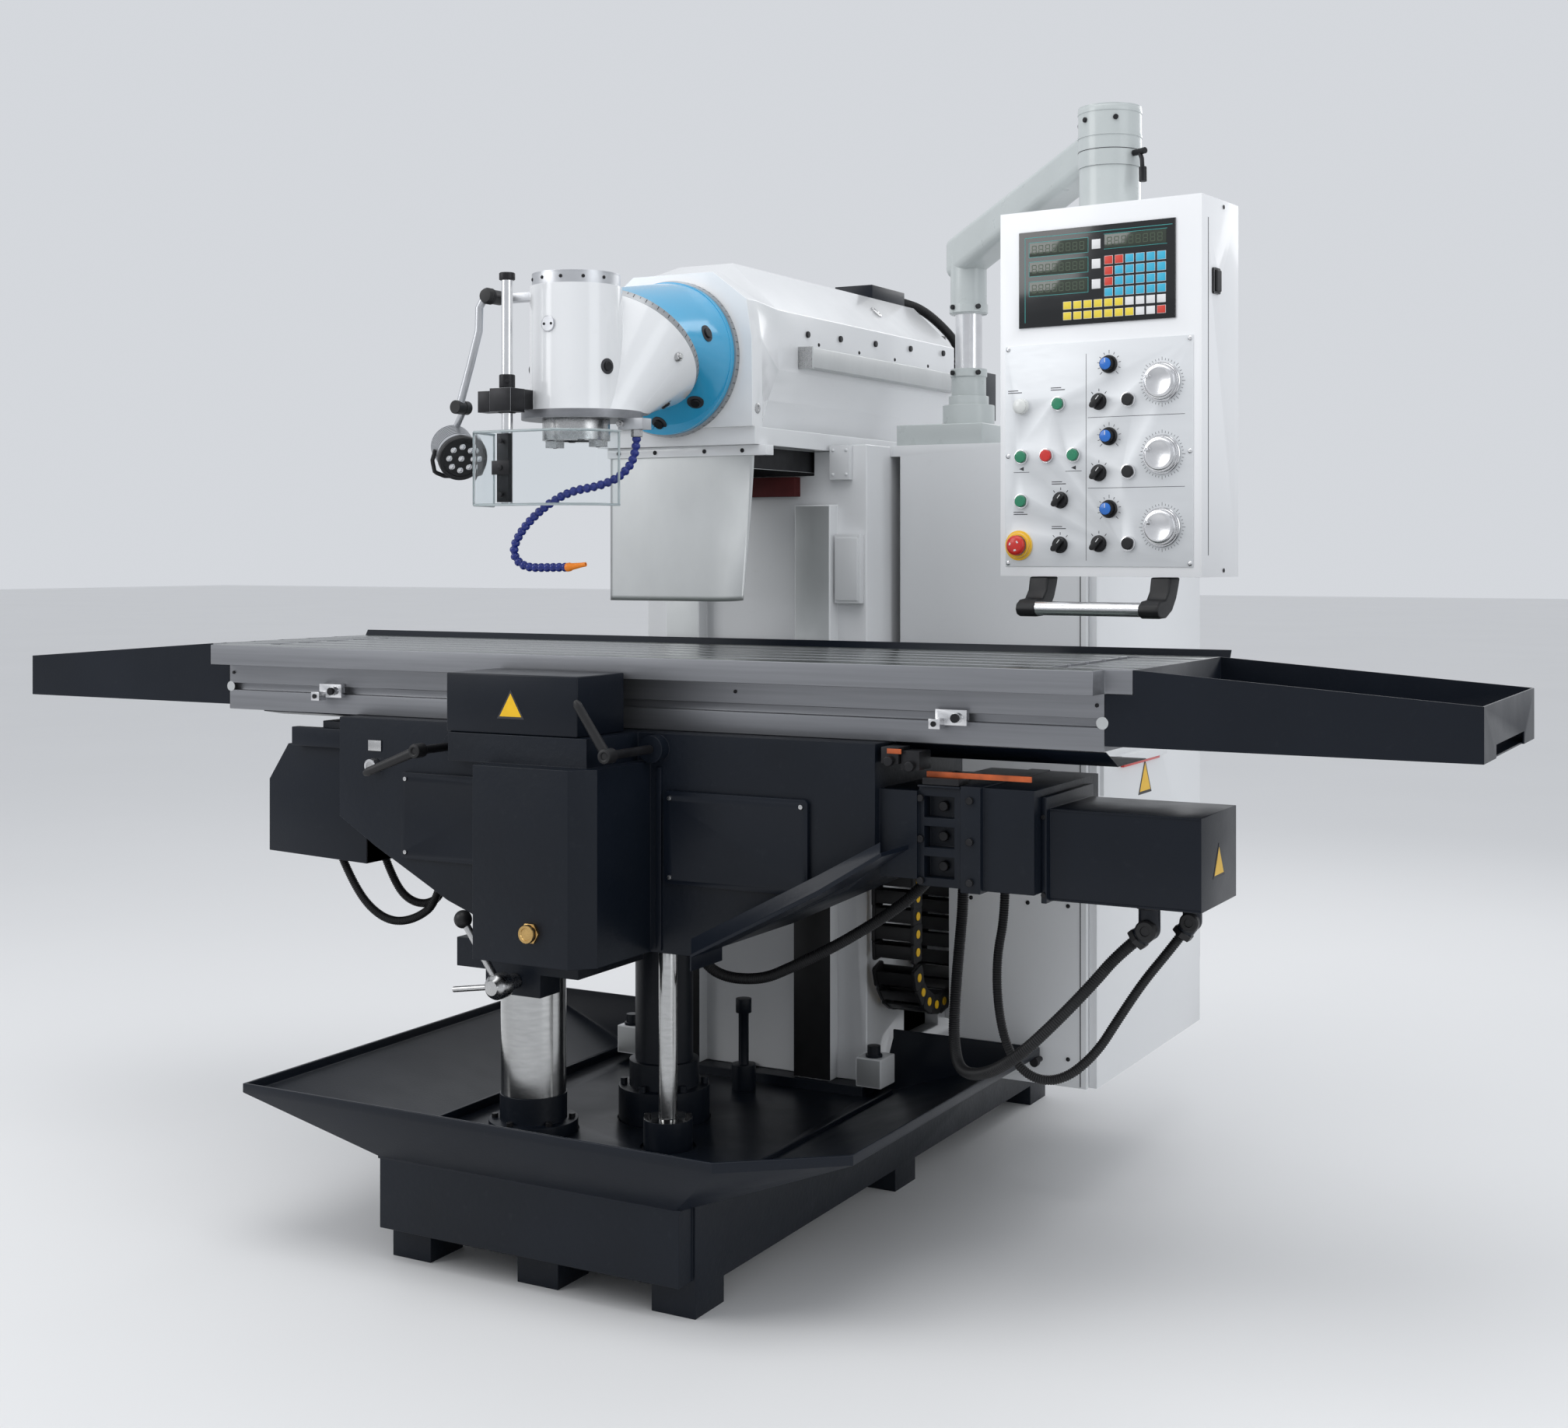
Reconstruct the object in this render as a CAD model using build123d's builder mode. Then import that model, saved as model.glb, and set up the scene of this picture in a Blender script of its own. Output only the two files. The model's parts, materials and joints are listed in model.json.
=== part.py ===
from build123d import *
import os
from math import cos, pi, radians, sin, sqrt, tan

# Ram-type universal milling machine with a swivelling spindle head, in millimetres.
# The origin is on the floor in the machine's centre plane, X is the table's travel,
# +Y points from the operator to the column and Z is up.

os.makedirs("parts", exist_ok=True)

# ---- clearances
slide_gap = 0.4
running_gap = 0.06
panel_gap = 0.6

# ---- base casting and chip tray
base_half = 342.0
base_front = -394.0
base_rear = 1286.0
base_lower = 47.0
base_top = 203.0
base_wall = 30.0
foot_width = 92.0
foot_depth = 100.0
foot_middle_row = 421.0
apron_half = 336.0
apron_depth = 46.0
apron_lower = 68.0
plinth_margin = 12.0
plinth_rise = 24.0
anchor_bore = 26.0
tray_floor = 5.0
tray_wall = 6.0
tray_half = 630.0
tray_front = -500.0
tray_rear = 522.0
tray_rim = 320.0
tray_corner_x = 440.0
tray_corner_y = -345.0

# ---- column and its ways
column_half = 278.0
column_front = 414.0
column_rear = 1150.0
column_wall = 35.0
column_top = 1590.0
way_half = 207.0
way_width = 87.0
way_rise = 34.0
way_top = 1461.0
ram_way_z = 1577.0
ram_way_half = 190.0
ram_way_land = 46.0
ram_trough_z = 1525.0
ram_side_gap = 6.0
lug_reach = 54.0
lug_height = 62.0
chain_width = 100.0

# ---- cabinet
cabinet_left = 418.0
cabinet_right = 748.0
cabinet_front = 529.0
cabinet_rear = 1255.0
cabinet_bottom = 242.0
cabinet_top = 1592.0
door_thick = 18.0
door_margin = 14.0
hinge_radius = 7.0

# ---- lifting gear between base and knee
pillar_x = -180.0
pillar_y = -158.0
pillar_radius = 65.0
pillar_top = 700.0
screw_y = 45.0
screw_tube_radius = 59.0
screw_tube_top = 700.0
rod_x = 118.0
rod_y = -128.0
rod_radius = 18.0

# ---- knee
knee_top = 1018.6
knee_bottom = 605.0
knee_half = 617.0
knee_front = -234.0
knee_back = 150.0
block_front = -450.0
block_half = 107.0
block_chamfer = 38.0
block_top = 965.0
head_block_left = -200.0
head_block_right = 117.0
wing_foot_x = -427.0
wing_foot_z = 709.0
lock_boss = 26.0
left_lock = (-302.0, 975.0)
pillar_lock = (-126.0, 533.0)
right_lock = (161.0, 990.0)
bracket_low = 770.0
bore_top = 960.0
slide_half = 250.0
cover_plate_thick = 9.0
bracket_bottom = 549.0
bracket_front = -291.0

# ---- table
table_shift = 25.0
table_half = 1050.0
flange_half = 1000.0
table_front = -238.0
table_rear = 318.0
table_top = 1160.0
slab_thick = 42.0
body_front = -181.0
body_bottom = 1019.0
dog_slot_z = 1068.0
dog_slot_width = 15.0
dog_slot_depth = 14.0
slot_width = 18.0
slot_depth = 20.0
tee_width = 32.0
tee_depth = 14.0
slot_pitch = 90.0
slot_count = 5
slot_middle = 30.0
end_tray_length = 568.0
end_tray_wall = 3.0
end_tray_drop = 41.0

# ---- ram
ram_face = 76.0
ram_body_front = 210.0
ram_rear = 1100.0
ram_z = 1755.0
ram_bore = 70.0
guide_thick = 36.0

# ---- swivel head
swivel_radius = 150.0
swivel_flange = 160.0
joint_y = -97.0
spindle_y = -269.0
head_bottom = 1627.0
head_top = 1863.0
head_radius = 88.0
nose_radius = 64.285
nose_face = 1571.0
spindle_shaft = 40.0
head_plate = 16.0
guard_post = (-65.0, -400.0)
post_radius = 10.5
clamp_low = 1620.0
clamp_high = 1664.0
sheet_y = 112.0
sheet_half = 176.0
sheet_thick = 1.5
sheet_bottom = 1257.0
coolant_top = 1590.0

# ---- pendant
arm_x = 416.0
arm_y = 640.0
arm_tube_radius = 29.5
post_x = 888.0
post_y = 230.0
box_x = 683.0
box_y = 182.0
box_z = 1313.0
box_width = 416.0
box_depth = 171.0
box_height = 700.0
box_yaw = -6.2


def save(builder, name):
    """Label a finished piece and write it."""
    builder.part.label = name
    export_step(builder.part, f"parts/{name}.step")


def block(x0, x1, y0, y1, z0, z1, mode=Mode.ADD):
    """A box given by its two corners, in the current part."""
    with Locations(((x0 + x1) / 2, (y0 + y1) / 2, (z0 + z1) / 2)):
        Box(x1 - x0, y1 - y0, z1 - z0, mode=mode)


def bar(start, end, radius, mode=Mode.ADD):
    """A round bar between two points, in the current part."""
    axis = Vector(*end) - Vector(*start)
    with BuildSketch(Plane(origin=start, z_dir=axis)) as disc:
        Circle(radius)
    extrude(disc.sketch, amount=axis.length, mode=mode)


def prism(plane, points, amount, mode=Mode.ADD):
    """A straight prism of a closed outline on a plane, in the current part."""
    with BuildSketch(plane) as outline:
        with BuildLine():
            Polyline(*points, close=True)
        make_face()
    extrude(outline.sketch, amount=amount, mode=mode)


def side_plane(x):
    """Local x runs along +Y and local y along +Z; extrusion goes towards +X."""
    return Plane(origin=(x, 0, 0), x_dir=(0, 1, 0), z_dir=(1, 0, 0))


def front_plane(y):
    """Local x runs along +X and local y along +Z; extrusion goes towards -Y."""
    return Plane(origin=(0, y, 0), x_dir=(1, 0, 0), z_dir=(0, -1, 0))


def bend_radii(points):
    """The arc at each inner point of a cord, as large as its two runs allow."""
    radii = []
    for before, here, after in zip(points, points[1:], points[2:]):
        first = Vector(*here) - Vector(*before)
        second = Vector(*after) - Vector(*here)
        half_turn = radians(first.get_angle(second)) / 2
        radii.append(0.45 * min(first.length, second.length) / tan(half_turn))
    return radii


def cord(points, diameter, name):
    """A round tube of straight runs joined by tangent arcs, in the current part."""
    radii = bend_radii(points)
    with BuildLine() as route:
        FilletPolyline(*points, radius=radii)
    heading = Vector(*points[1]) - Vector(*points[0])
    with BuildSketch(Plane(origin=points[0], z_dir=heading)) as section:
        Circle(diameter / 2)
    sweep(section.sketch, path=route.wires()[0])
    length = sum(edge.length for edge in route.edges())
    rule = length * pi * diameter**2 / 4
    print(
        name, "length", round(length), "smallest radius",
        round(min(radii)), "section x length", round(rule),
    )


# ---------------------------------------------------------------- base
foot_x = base_half - foot_width / 2
foot_rows = (
    base_front + foot_depth / 2,
    foot_middle_row + foot_depth / 2,
    base_rear - foot_depth / 2,
)


def make_base_casting():
    with BuildPart() as base_casting:
        block(-base_half, base_half, base_front, base_rear, base_lower, base_top)
        for row in foot_rows:
            for x in (-foot_x, foot_x):
                block(
                    x - foot_width / 2, x + foot_width / 2,
                    row - foot_depth / 2, row + foot_depth / 2, 0, base_lower,
                )
        block(-foot_width / 2, foot_width / 2, base_front, base_front + foot_depth, 0, base_lower)
        block(
            -base_half + base_wall, base_half - base_wall, base_front + base_wall,
            base_rear - base_wall, base_lower, base_top - base_wall, mode=Mode.SUBTRACT,
        )
        for row in foot_rows:
            for x in (-foot_x, foot_x):
                block(
                    x - foot_width / 2, x + foot_width / 2, row - foot_depth / 2,
                    row + foot_depth / 2, base_lower, base_top - base_wall,
                )
        block(
            -foot_width / 2, foot_width / 2, base_front,
            base_front + foot_depth, base_lower, base_top - base_wall,
        )
        block(-apron_half, apron_half, base_front - apron_depth, base_front, apron_lower, base_top)
        plinth = column_half + plinth_margin
        plinth_front = column_front - way_rise - plinth_margin
        block(-plinth, plinth, plinth_front, column_rear + plinth_margin, base_top, base_top + plinth_rise)
        for row in (foot_rows[0], foot_rows[2]):
            with Locations((-foot_x, row, base_top / 2), (foot_x, row, base_top / 2)):
                Cylinder(anchor_bore / 2, base_top + 2, mode=Mode.SUBTRACT)
    save(base_casting, "base_casting")


def tray_outline(inset):
    """The rim seen from above, drawn in by an inset."""
    cut = inset * 0.6
    return [
        (-tray_half + inset, tray_front + inset),
        (tray_corner_x - cut, tray_front + inset),
        (tray_half - inset, tray_corner_y + cut),
        (tray_half - inset, tray_rear - inset),
        (-tray_half + inset, tray_rear - inset),
    ]


def tray_shell(inset, low, high, narrow):
    """The hopper between the base's edge and the rim, in the current part."""
    front = base_front - apron_depth + narrow
    foot = [
        (-apron_half + narrow, front),
        (apron_half - narrow - 8, front),
        (apron_half - narrow, front + 8),
        (apron_half - narrow, tray_rear - 60 - narrow),
        (-apron_half + narrow, tray_rear - 60 - narrow),
    ]
    mode = Mode.ADD if inset == 0 else Mode.SUBTRACT
    with BuildSketch(Plane.XY.offset(low)) as lower:
        with BuildLine():
            Polyline(*foot, close=True)
        make_face()
    with BuildSketch(Plane.XY.offset(high)) as upper:
        with BuildLine():
            Polyline(*tray_outline(inset), close=True)
        make_face()
    loft([lower.sketch.face(), upper.sketch.face()], mode=mode)


def make_chip_tray():
    lip = 18.0
    floor = base_top + tray_floor
    with BuildPart() as chip_tray:
        tray_shell(0, base_top, tray_rim - lip, 0)
        prism(Plane.XY.offset(tray_rim - lip), tray_outline(0), lip)
        tray_shell(tray_wall, floor, tray_rim - lip, 8)
        prism(Plane.XY.offset(tray_rim - lip), tray_outline(tray_wall), lip, mode=Mode.SUBTRACT)
        plinth = column_half + plinth_margin + 1
        plinth_front = column_front - way_rise - plinth_margin - 1
        block(-plinth, plinth, plinth_front, tray_rear + 10, base_top - 1, tray_rim + 1, mode=Mode.SUBTRACT)
        for x, y, radius in (
            (pillar_x, pillar_y, pillar_radius + 26),
            (0, screw_y, screw_tube_radius + 36),
            (rod_x, rod_y, rod_radius + 36),
        ):
            with Locations((x, y, base_top)):
                Cylinder(radius, 4 * tray_floor, mode=Mode.SUBTRACT)
    save(chip_tray, "chip_tray")


def make_column():
    foot = base_top + plinth_rise
    way_inner = way_half - way_width
    way_front = column_front - way_rise
    with BuildPart() as column:
        block(-column_half, column_half, column_front, column_rear, foot, column_top)
        block(-way_half, -way_inner, way_front, column_front, foot, way_top)
        block(way_inner, way_half, way_front, column_front, foot, way_top)
        # the hollow of the casting, open at the foot
        block(
            -column_half + column_wall, column_half - column_wall, column_front + column_wall,
            column_rear - column_wall, foot, ram_trough_z - column_wall, mode=Mode.SUBTRACT,
        )
        # the ram's way between two cheeks, and the trough for its screw cover
        cheek = ram_way_half + ram_side_gap
        block(
            -cheek, cheek, column_front - 1, column_rear + 1,
            ram_way_z, column_top + 1, mode=Mode.SUBTRACT,
        )
        trough = ram_way_half - ram_way_land + ram_side_gap
        block(
            -trough, trough, column_front - 1, column_rear + 1,
            ram_trough_z, column_top, mode=Mode.SUBTRACT,
        )
        # a window at the foot of the right side
        block(column_half - column_wall - 1, column_half + 1, 600, 780, 275, 345, mode=Mode.SUBTRACT)
        # lugs that hold the column down, one each side
        for side in (-1, 1):
            near = side * (column_half - 6)
            far = side * (column_half + lug_reach)
            block(min(near, far), max(near, far), way_front - 8, column_front + 26, foot, foot + lug_height)
    save(column, "column")


def make_cabinet():
    floor = cabinet_bottom
    with BuildPart() as cabinet:
        block(cabinet_left, cabinet_right - door_thick, cabinet_front, cabinet_rear, floor, cabinet_top)
        block(
            cabinet_left + 3, cabinet_right, cabinet_front + 24, cabinet_rear - 24,
            floor + 24, cabinet_top - 24, mode=Mode.SUBTRACT,
        )
        # the channel between column and cabinet: its back, its top and its front cover
        block(column_half, cabinet_left, 820, 1100, floor + 40, cabinet_top)
        block(column_half, cabinet_left, cabinet_front, 820, cabinet_top - 24, cabinet_top)
        block(column_half + 24, cabinet_left, cabinet_front, cabinet_front + 3, 1040, cabinet_top - 24)
        # mounting plate for the switchgear
        block(
            cabinet_left + 3, cabinet_left + 9, cabinet_front + 60,
            cabinet_rear - 60, floor + 80, cabinet_top - 80,
        )
        # hinge barrels for the door, on the rear edge
        for z in (floor + 180, (floor + cabinet_top) / 2, cabinet_top - 180):
            with Locations((cabinet_right - door_thick / 2, cabinet_rear + hinge_radius, z)):
                Cylinder(hinge_radius, 60)
            block(
                cabinet_right - door_thick - 20, cabinet_right - door_thick / 2,
                cabinet_rear, cabinet_rear + hinge_radius - 4, z - 30, z + 30,
            )
    save(cabinet, "cabinet")


def make_cabinet_door():
    """The side door, with the isolator switch and its swing handle."""
    low = cabinet_bottom + panel_gap
    high = cabinet_top - panel_gap
    near = cabinet_front + door_margin
    far = cabinet_rear - panel_gap
    inner = cabinet_right - door_thick + panel_gap
    with BuildPart() as cabinet_door:
        block(inner, cabinet_right, near, far, low, high)
        block(inner - 1, cabinet_right - 3, near + 20, far - 20, low + 20, high - 20, mode=Mode.SUBTRACT)
        block(cabinet_right, cabinet_right + 8, near + 20, near + 42, 850, 950)
        block(cabinet_right, cabinet_right + 14, near + 120, near + 420, 905, 925)
        for z in (cabinet_bottom + 240, cabinet_top - 240):
            with Locations((cabinet_right - door_thick / 2, cabinet_rear + hinge_radius, z)):
                Cylinder(hinge_radius, 50)
            block(
                inner, cabinet_right, far - 2, cabinet_rear + hinge_radius - 4, z - 25, z + 25,
            )
    save(cabinet_door, "cabinet_door")


def make_lifting_columns():
    """The support pillar, the elevating screw's tube, the stop rod and the holding-down bolts."""
    floor = base_top
    with BuildPart() as lifting_columns:
        with Locations((pillar_x, pillar_y, floor + 14)):
            Cylinder(pillar_radius + 24, 28)
        with Locations((pillar_x, pillar_y, floor + 40)):
            Cylinder(pillar_radius + 2, 80)
        bar((pillar_x, pillar_y, floor), (pillar_x, pillar_y, pillar_top), pillar_radius)
        with Locations((0, screw_y, floor + 36)):
            Cylinder(screw_tube_radius + 34, 72)
        with Locations((0, screw_y, floor + 62)):
            Cylinder(screw_tube_radius + 12, 124)
        bar((0, screw_y, floor), (0, screw_y, screw_tube_top), screw_tube_radius)
        for turn in range(6):
            angle = radians(30 + 60 * turn)
            reach = screw_tube_radius + 23
            spot = (reach * cos(angle), screw_y + reach * sin(angle))
            bar((*spot, floor + 70), (*spot, floor + 84), 7)
    with BuildPart() as stop_rod:
        with Locations((rod_x, rod_y, floor + 30)):
            Cylinder(rod_radius + 30, 60)
        bar((rod_x, rod_y, floor), (rod_x, rod_y, screw_tube_top), rod_radius)
    with BuildPart() as bolts:
        # the tall stud in the tray, and one bolt in each of the column's lugs
        stud = (40, 300)
        stud_foot = floor + tray_floor
        bar((*stud, stud_foot), (*stud, stud_foot + 55), 26)
        bar((*stud, stud_foot + 55), (*stud, stud_foot + 165), 11)
        bar((*stud, stud_foot + 165), (*stud, stud_foot + 195), 17)
        lug_top = base_top + plinth_rise + lug_height
        for side in (-1, 1):
            spot = (side * (column_half + lug_reach / 2), column_front - way_rise + 14)
            bar((*spot, lug_top), (*spot, lug_top + 6), 18)
            bar((*spot, lug_top + 6), (*spot, lug_top + 24), 14)
    with BuildPart() as whole:
        add(lifting_columns.part)
        add(stop_rod.part)
        add(bolts.part)
    save(whole, "lifting_columns")


def make_arm_pedestal():
    with BuildPart() as arm_pedestal:
        block(arm_x - 128, arm_x + 75, arm_y - 100, arm_y + 100, cabinet_top, cabinet_top + 45)
        bar((arm_x, arm_y, cabinet_top + 45), (arm_x, arm_y, cabinet_top + 90), 57)
        bar((arm_x, arm_y, cabinet_top + 90), (arm_x, arm_y, cabinet_top + 110), 44)
    save(arm_pedestal, "arm_pedestal")


def make_drag_chain():
    """A loop of links from the knee's rear down and up into the channel beside the column."""
    half = 22.0
    front_leg = 412.0
    rear_leg = 640.0
    middle = (front_leg + rear_leg) / 2
    low = 500.0
    inner = (rear_leg - front_leg) / 2 - half
    left = column_half + 22
    with BuildPart() as drag_chain:
        with BuildSketch(side_plane(left)):
            with BuildLine():
                Line((front_leg - half, 760), (front_leg - half, low))
                CenterArc((middle, low), inner + 2 * half, 180, 180)
                Line((rear_leg + half, low), (rear_leg + half, 1000))
                Line((rear_leg + half, 1000), (rear_leg - half, 1000))
                Line((rear_leg - half, 1000), (rear_leg - half, low))
                CenterArc((middle, low), inner, 360, -180)
                Line((front_leg + half, low), (front_leg + half, 760))
                Line((front_leg + half, 760), (front_leg - half, 760))
            make_face()
        extrude(amount=chain_width)
        # the anchor that holds the rear leg to the cabinet's wall
        block(left + chain_width, cabinet_left, rear_leg - 14, rear_leg + 14, 950, 990)
    save(drag_chain, "drag_chain")


# ---------------------------------------------------------------- knee
def make_knee_casting():
    with BuildPart() as knee_casting:
        prism(front_plane(knee_back), [
            (-knee_half, knee_top), (-knee_half, 814), (-524, 759), (wing_foot_x, wing_foot_z), (-336, 662),
            (-275, 640), (-240, knee_bottom), (240, knee_bottom), (563, 755), (knee_half, 800),
            (knee_half, knee_top),
        ], knee_back - knee_front)
        prism(Plane.XY.offset(knee_bottom), [
            (-block_half, knee_front + 1), (-block_half, block_front), (block_half, block_front),
            (block_half + block_chamfer, block_front + block_chamfer),
            (block_half + block_chamfer, knee_front + 1),
        ], block_top - knee_bottom)
        block(head_block_left, head_block_right, block_front + 45, knee_front + 1, block_top, knee_top)
        slide_front = column_front - way_rise - slide_gap
        block(-slide_half, slide_half, knee_back - 1, slide_front, knee_bottom + 20, 990)
        # bosses of the two table locks
        for x, z in (left_lock, right_lock):
            bar((x, knee_front + 1, z), (x, knee_front - lock_boss, z), 26)
        # the drive bracket at the right end, with its pockets
        block(knee_half, 690, -215, 120, bracket_low + 12, 938)
        block(690, 772, -206, 120, bracket_low, 948)
        for z in (785, 838, 891):
            block(700, 758, -207, -180, z, z + 38, mode=Mode.SUBTRACT)
        block(772, 810, -212, 120, bracket_low - 6, 950)
        block(810, 905, -200, 120, bracket_low - 2, 948)
        # the bracket that clamps the support pillar
        block(pillar_x - 88, 20, bracket_front, pillar_y + 95, bracket_bottom, knee_bottom)
        clamp_rear = pillar_y - pillar_radius - 3
        block(pillar_x - 18, pillar_x + 112, bracket_front, clamp_rear, bracket_bottom - 44, bracket_bottom + 1)
        # bores that swallow the pillar, the screw tube and the stop rod
        with BuildSketch(Plane.XY.offset(bracket_bottom - 1)):
            with Locations((pillar_x, pillar_y)):
                Circle(pillar_radius + running_gap)
            with Locations((0, screw_y)):
                Circle(screw_tube_radius + 4)
            with Locations((rod_x, rod_y)):
                Circle(rod_radius + running_gap)
        extrude(amount=bore_top - bracket_bottom, mode=Mode.SUBTRACT)
    save(knee_casting, "knee_casting")


def plate_with_screws(x0, x1, z0, z1, y):
    """A cover plate with rounded corners and four screws, standing proud of a face."""
    inset = 13.0
    with BuildSketch(front_plane(y)) as plate:
        with Locations(((x0 + x1) / 2, (z0 + z1) / 2)):
            RectangleRounded(x1 - x0, z1 - z0, 9)
    extrude(plate.sketch, amount=cover_plate_thick)
    for x in (x0 + inset, x1 - inset):
        for z in (z0 + inset, z1 - inset):
            bar((x, y - cover_plate_thick, z), (x, y - cover_plate_thick - 3, z), 5)


def make_knee_covers():
    with BuildPart() as left_cover:
        plate_with_screws(-449, -130, 740, 914, knee_front)
    with BuildPart() as right_cover:
        plate_with_screws(181, 486, 738, 912, knee_front)
    with BuildPart() as fittings:
        # crank socket, oil sight glass and a blank plate
        bar((-523, knee_front, 923), (-523, knee_front - 16, 923), 15)
        block(-540, -505, knee_front - 2, knee_front, 952, 975)
        bar((25, block_front, 665), (25, block_front - 14, 665), 17)
    with BuildPart() as knee_covers:
        add(left_cover.part)
        add(right_cover.part)
        add(fittings.part)
    save(knee_covers, "knee_covers")


def make_electric_box():
    """The limit-switch box that stands in front of the table's edge."""
    with BuildPart() as electric_box:
        block(-207, 93, -400, table_front - 7, knee_top + 0.4, 1131)
        block(-204, 90, -397, table_front - 10, knee_top + 3, 1128, mode=Mode.SUBTRACT)
    save(electric_box, "electric_box")


def make_motor_covers():
    """The cover at the knee's left end, the drive cover at its right end and the conduit elbows."""
    with BuildPart() as left_cover:
        prism(front_plane(100), [
            (-knee_half, 955), (-835, 947), (-889, 868), (-889, 713), (-knee_half, 703),
        ], 250)
        block(-knee_half - 120, -knee_half, -150, 60, 955, 1000)
        prism(front_plane(97), [
            (-knee_half + 1, 952), (-833, 944), (-886, 867), (-886, 716), (-knee_half + 1, 706),
        ], 244, mode=Mode.SUBTRACT)
    with BuildPart() as bar_guard:
        block(-805, -knee_half, -172, -150.2, 946, 986)
    with BuildPart() as drive_cover:
        block(905, 915, -168, 66, 750, 935)
        block(915, 1184, -150, 56, 753, 913)
        block(904, 1181, -147, 53, 756, 910, mode=Mode.SUBTRACT)
    with BuildPart() as front_elbow:
        elbow(drive_elbow, drive_heading, 19)
    with BuildPart() as rear_elbow:
        elbow(motor_elbow, motor_heading, 17)
    with BuildPart() as motor_covers:
        add(left_cover.part)
        add(bar_guard.part)
        add(drive_cover.part)
        add(front_elbow.part)
        add(rear_elbow.part)
    save(motor_covers, "motor_covers")


def make_knee_guards():
    """The drip plates at both ends of the table way and the chip chute under the right wing."""
    top = body_bottom - 3
    with BuildPart() as right_drip:
        prism(side_plane(knee_half + 0.5), [
            (-150, top), (-150, top - 2), (-90, 985), (60, 985), (60, 987), (-89, 987),
        ], 400)
    with BuildPart() as left_drip:
        prism(side_plane(-905), [
            (-150, top), (-150, top - 2), (-90, 1004), (60, 1004), (60, 1006), (-89, 1006),
        ], 905 - knee_half - 0.5)
    with BuildPart() as chute:
        prism(front_plane(knee_front - 0.2), [
            (300, 604), (300, 634), (560, 770), (683, 845), (683, 837), (562, 762), (303, 629), (303, 604),
        ], 110)
        prism(front_plane(knee_front - 105), [
            (301, 632), (301, 662), (560, 797), (680, 862), (680, 839), (562, 766),
        ], 3)
    with BuildPart() as knee_guards:
        add(right_drip.part)
        add(left_drip.part)
        add(chute.part)
    save(knee_guards, "knee_guards")


def lever_arm(start, end, thick, thin):
    """A tapered round handle from its boss to its tip, in the current part."""
    axis = Vector(*end) - Vector(*start)
    with BuildSketch(Plane(origin=start, z_dir=axis)) as root:
        Circle(thick)
    with BuildSketch(Plane(origin=end, z_dir=axis)) as tip:
        Circle(thin)
    loft([root.sketch.face(), tip.sketch.face()])


def make_table_lever(name, lock, hub_y, reach):
    """A clamping lever on a shaft along Y."""
    x, z = lock
    with BuildPart() as lever:
        bar((x, knee_front - lock_boss - slide_gap, z), (x, hub_y, z), 9)
        bar((x, hub_y + 14, z), (x, hub_y - 16, z), 14)
        lever_arm((x, hub_y - 5, z), (x + reach[0], hub_y - 12, z + reach[1]), 9, 7)
    save(lever, name)


def make_column_lever():
    """The lever that clamps the pillar bracket: steel hub, long arm with a ball and a short arm."""
    x, z = pillar_lock
    hub_y = bracket_front - 34
    with BuildPart() as column_lever:
        bar((x, bracket_front - slide_gap, z), (x, hub_y + 1, z), 16)
        bar((x, hub_y + 1, z), (x, hub_y - 38, z), 25)
        bar((x, hub_y - 37, z), (x, hub_y - 46, z), 16)
        bar((x - 14, hub_y - 14, z + 16), (x - 80, hub_y - 22, z + 116), 8)
        bar((x - 74, hub_y - 21.3, z + 107), (x - 92, hub_y - 23.5, z + 134), 18)
        bar((x - 14, hub_y - 26, z - 2), (x - 98, hub_y - 32, z - 14), 6)
    save(column_lever, "column_lever")


conduit = 22.0
thin_conduit = 18.0
stub_length = 34.0
drive_elbow = Vector(1064, -60, 702)
drive_heading = Vector(-0.75, 0, -0.66).normalized()
motor_elbow = Vector(1122, 0, 712)
motor_heading = Vector(-0.6, 0, -0.8).normalized()
drive_start = drive_elbow + drive_heading * stub_length
drive_lead = drive_start + drive_heading * 48
motor_start = motor_elbow + motor_heading * stub_length
motor_lead = motor_start + motor_heading * 44
drive_conduit_route = [
    tuple(drive_start), tuple(drive_lead), (973, -96, 604), (916, -126, 537),
    (847, -136, 468), (772, -102, 421), (692, -32, 400), (654, 24, 440), (646, 50, 520),
    (650, 62, 620), (658, 62, 700), (658, 62, bracket_low + 12),
]
motor_conduit_route = [
    tuple(motor_start), tuple(motor_lead), (1038, -14, 600), (1000, -34, 536),
    (962, -48, 470), (905, -58, 418), (845, -62, 413), (798, -58, 455), (774, -48, 530),
    (768, -40, 620), (784, -38, 700), (784, -38, bracket_low - 6),
]
front_conduit_route = [
    (110, -30, 599.3), (135, -35, 556), (187, -41, 526), (277, -42, 530), (342, -42, 560),
    (438, -40, 610), (531, -38, 668), (608, -38, 724), (652, -38, 774.4),
]


def under_wing(x):
    """The height just below the left wing's sloping edge, for a conduit that ends there."""
    return wing_foot_z + (wing_foot_x - x - thin_conduit / 2) * 50 / 97 - 0.5


left_outer_route = [
    (-715, -112, 701.2), (-687, -112, 653), (-640, -112, 602), (-580, -112, 577),
    (-515, -110, 590), (-462, -106, 630), (-446, -102, under_wing(-446)),
]
left_inner_route = [
    (-640, -60, 699), (-615, -60, 649), (-575, -62, 616), (-525, -62, 611),
    (-482, -60, 640), (-470, -56, under_wing(-470)),
]


def elbow(centre, heading, radius):
    """A connector that hangs from the drive cover and turns towards its conduit."""
    bar((centre.X, centre.Y, 753), centre, radius)
    with Locations(centre):
        Sphere(radius)
    bar(centre, centre + heading * stub_length, radius - 1)


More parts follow.
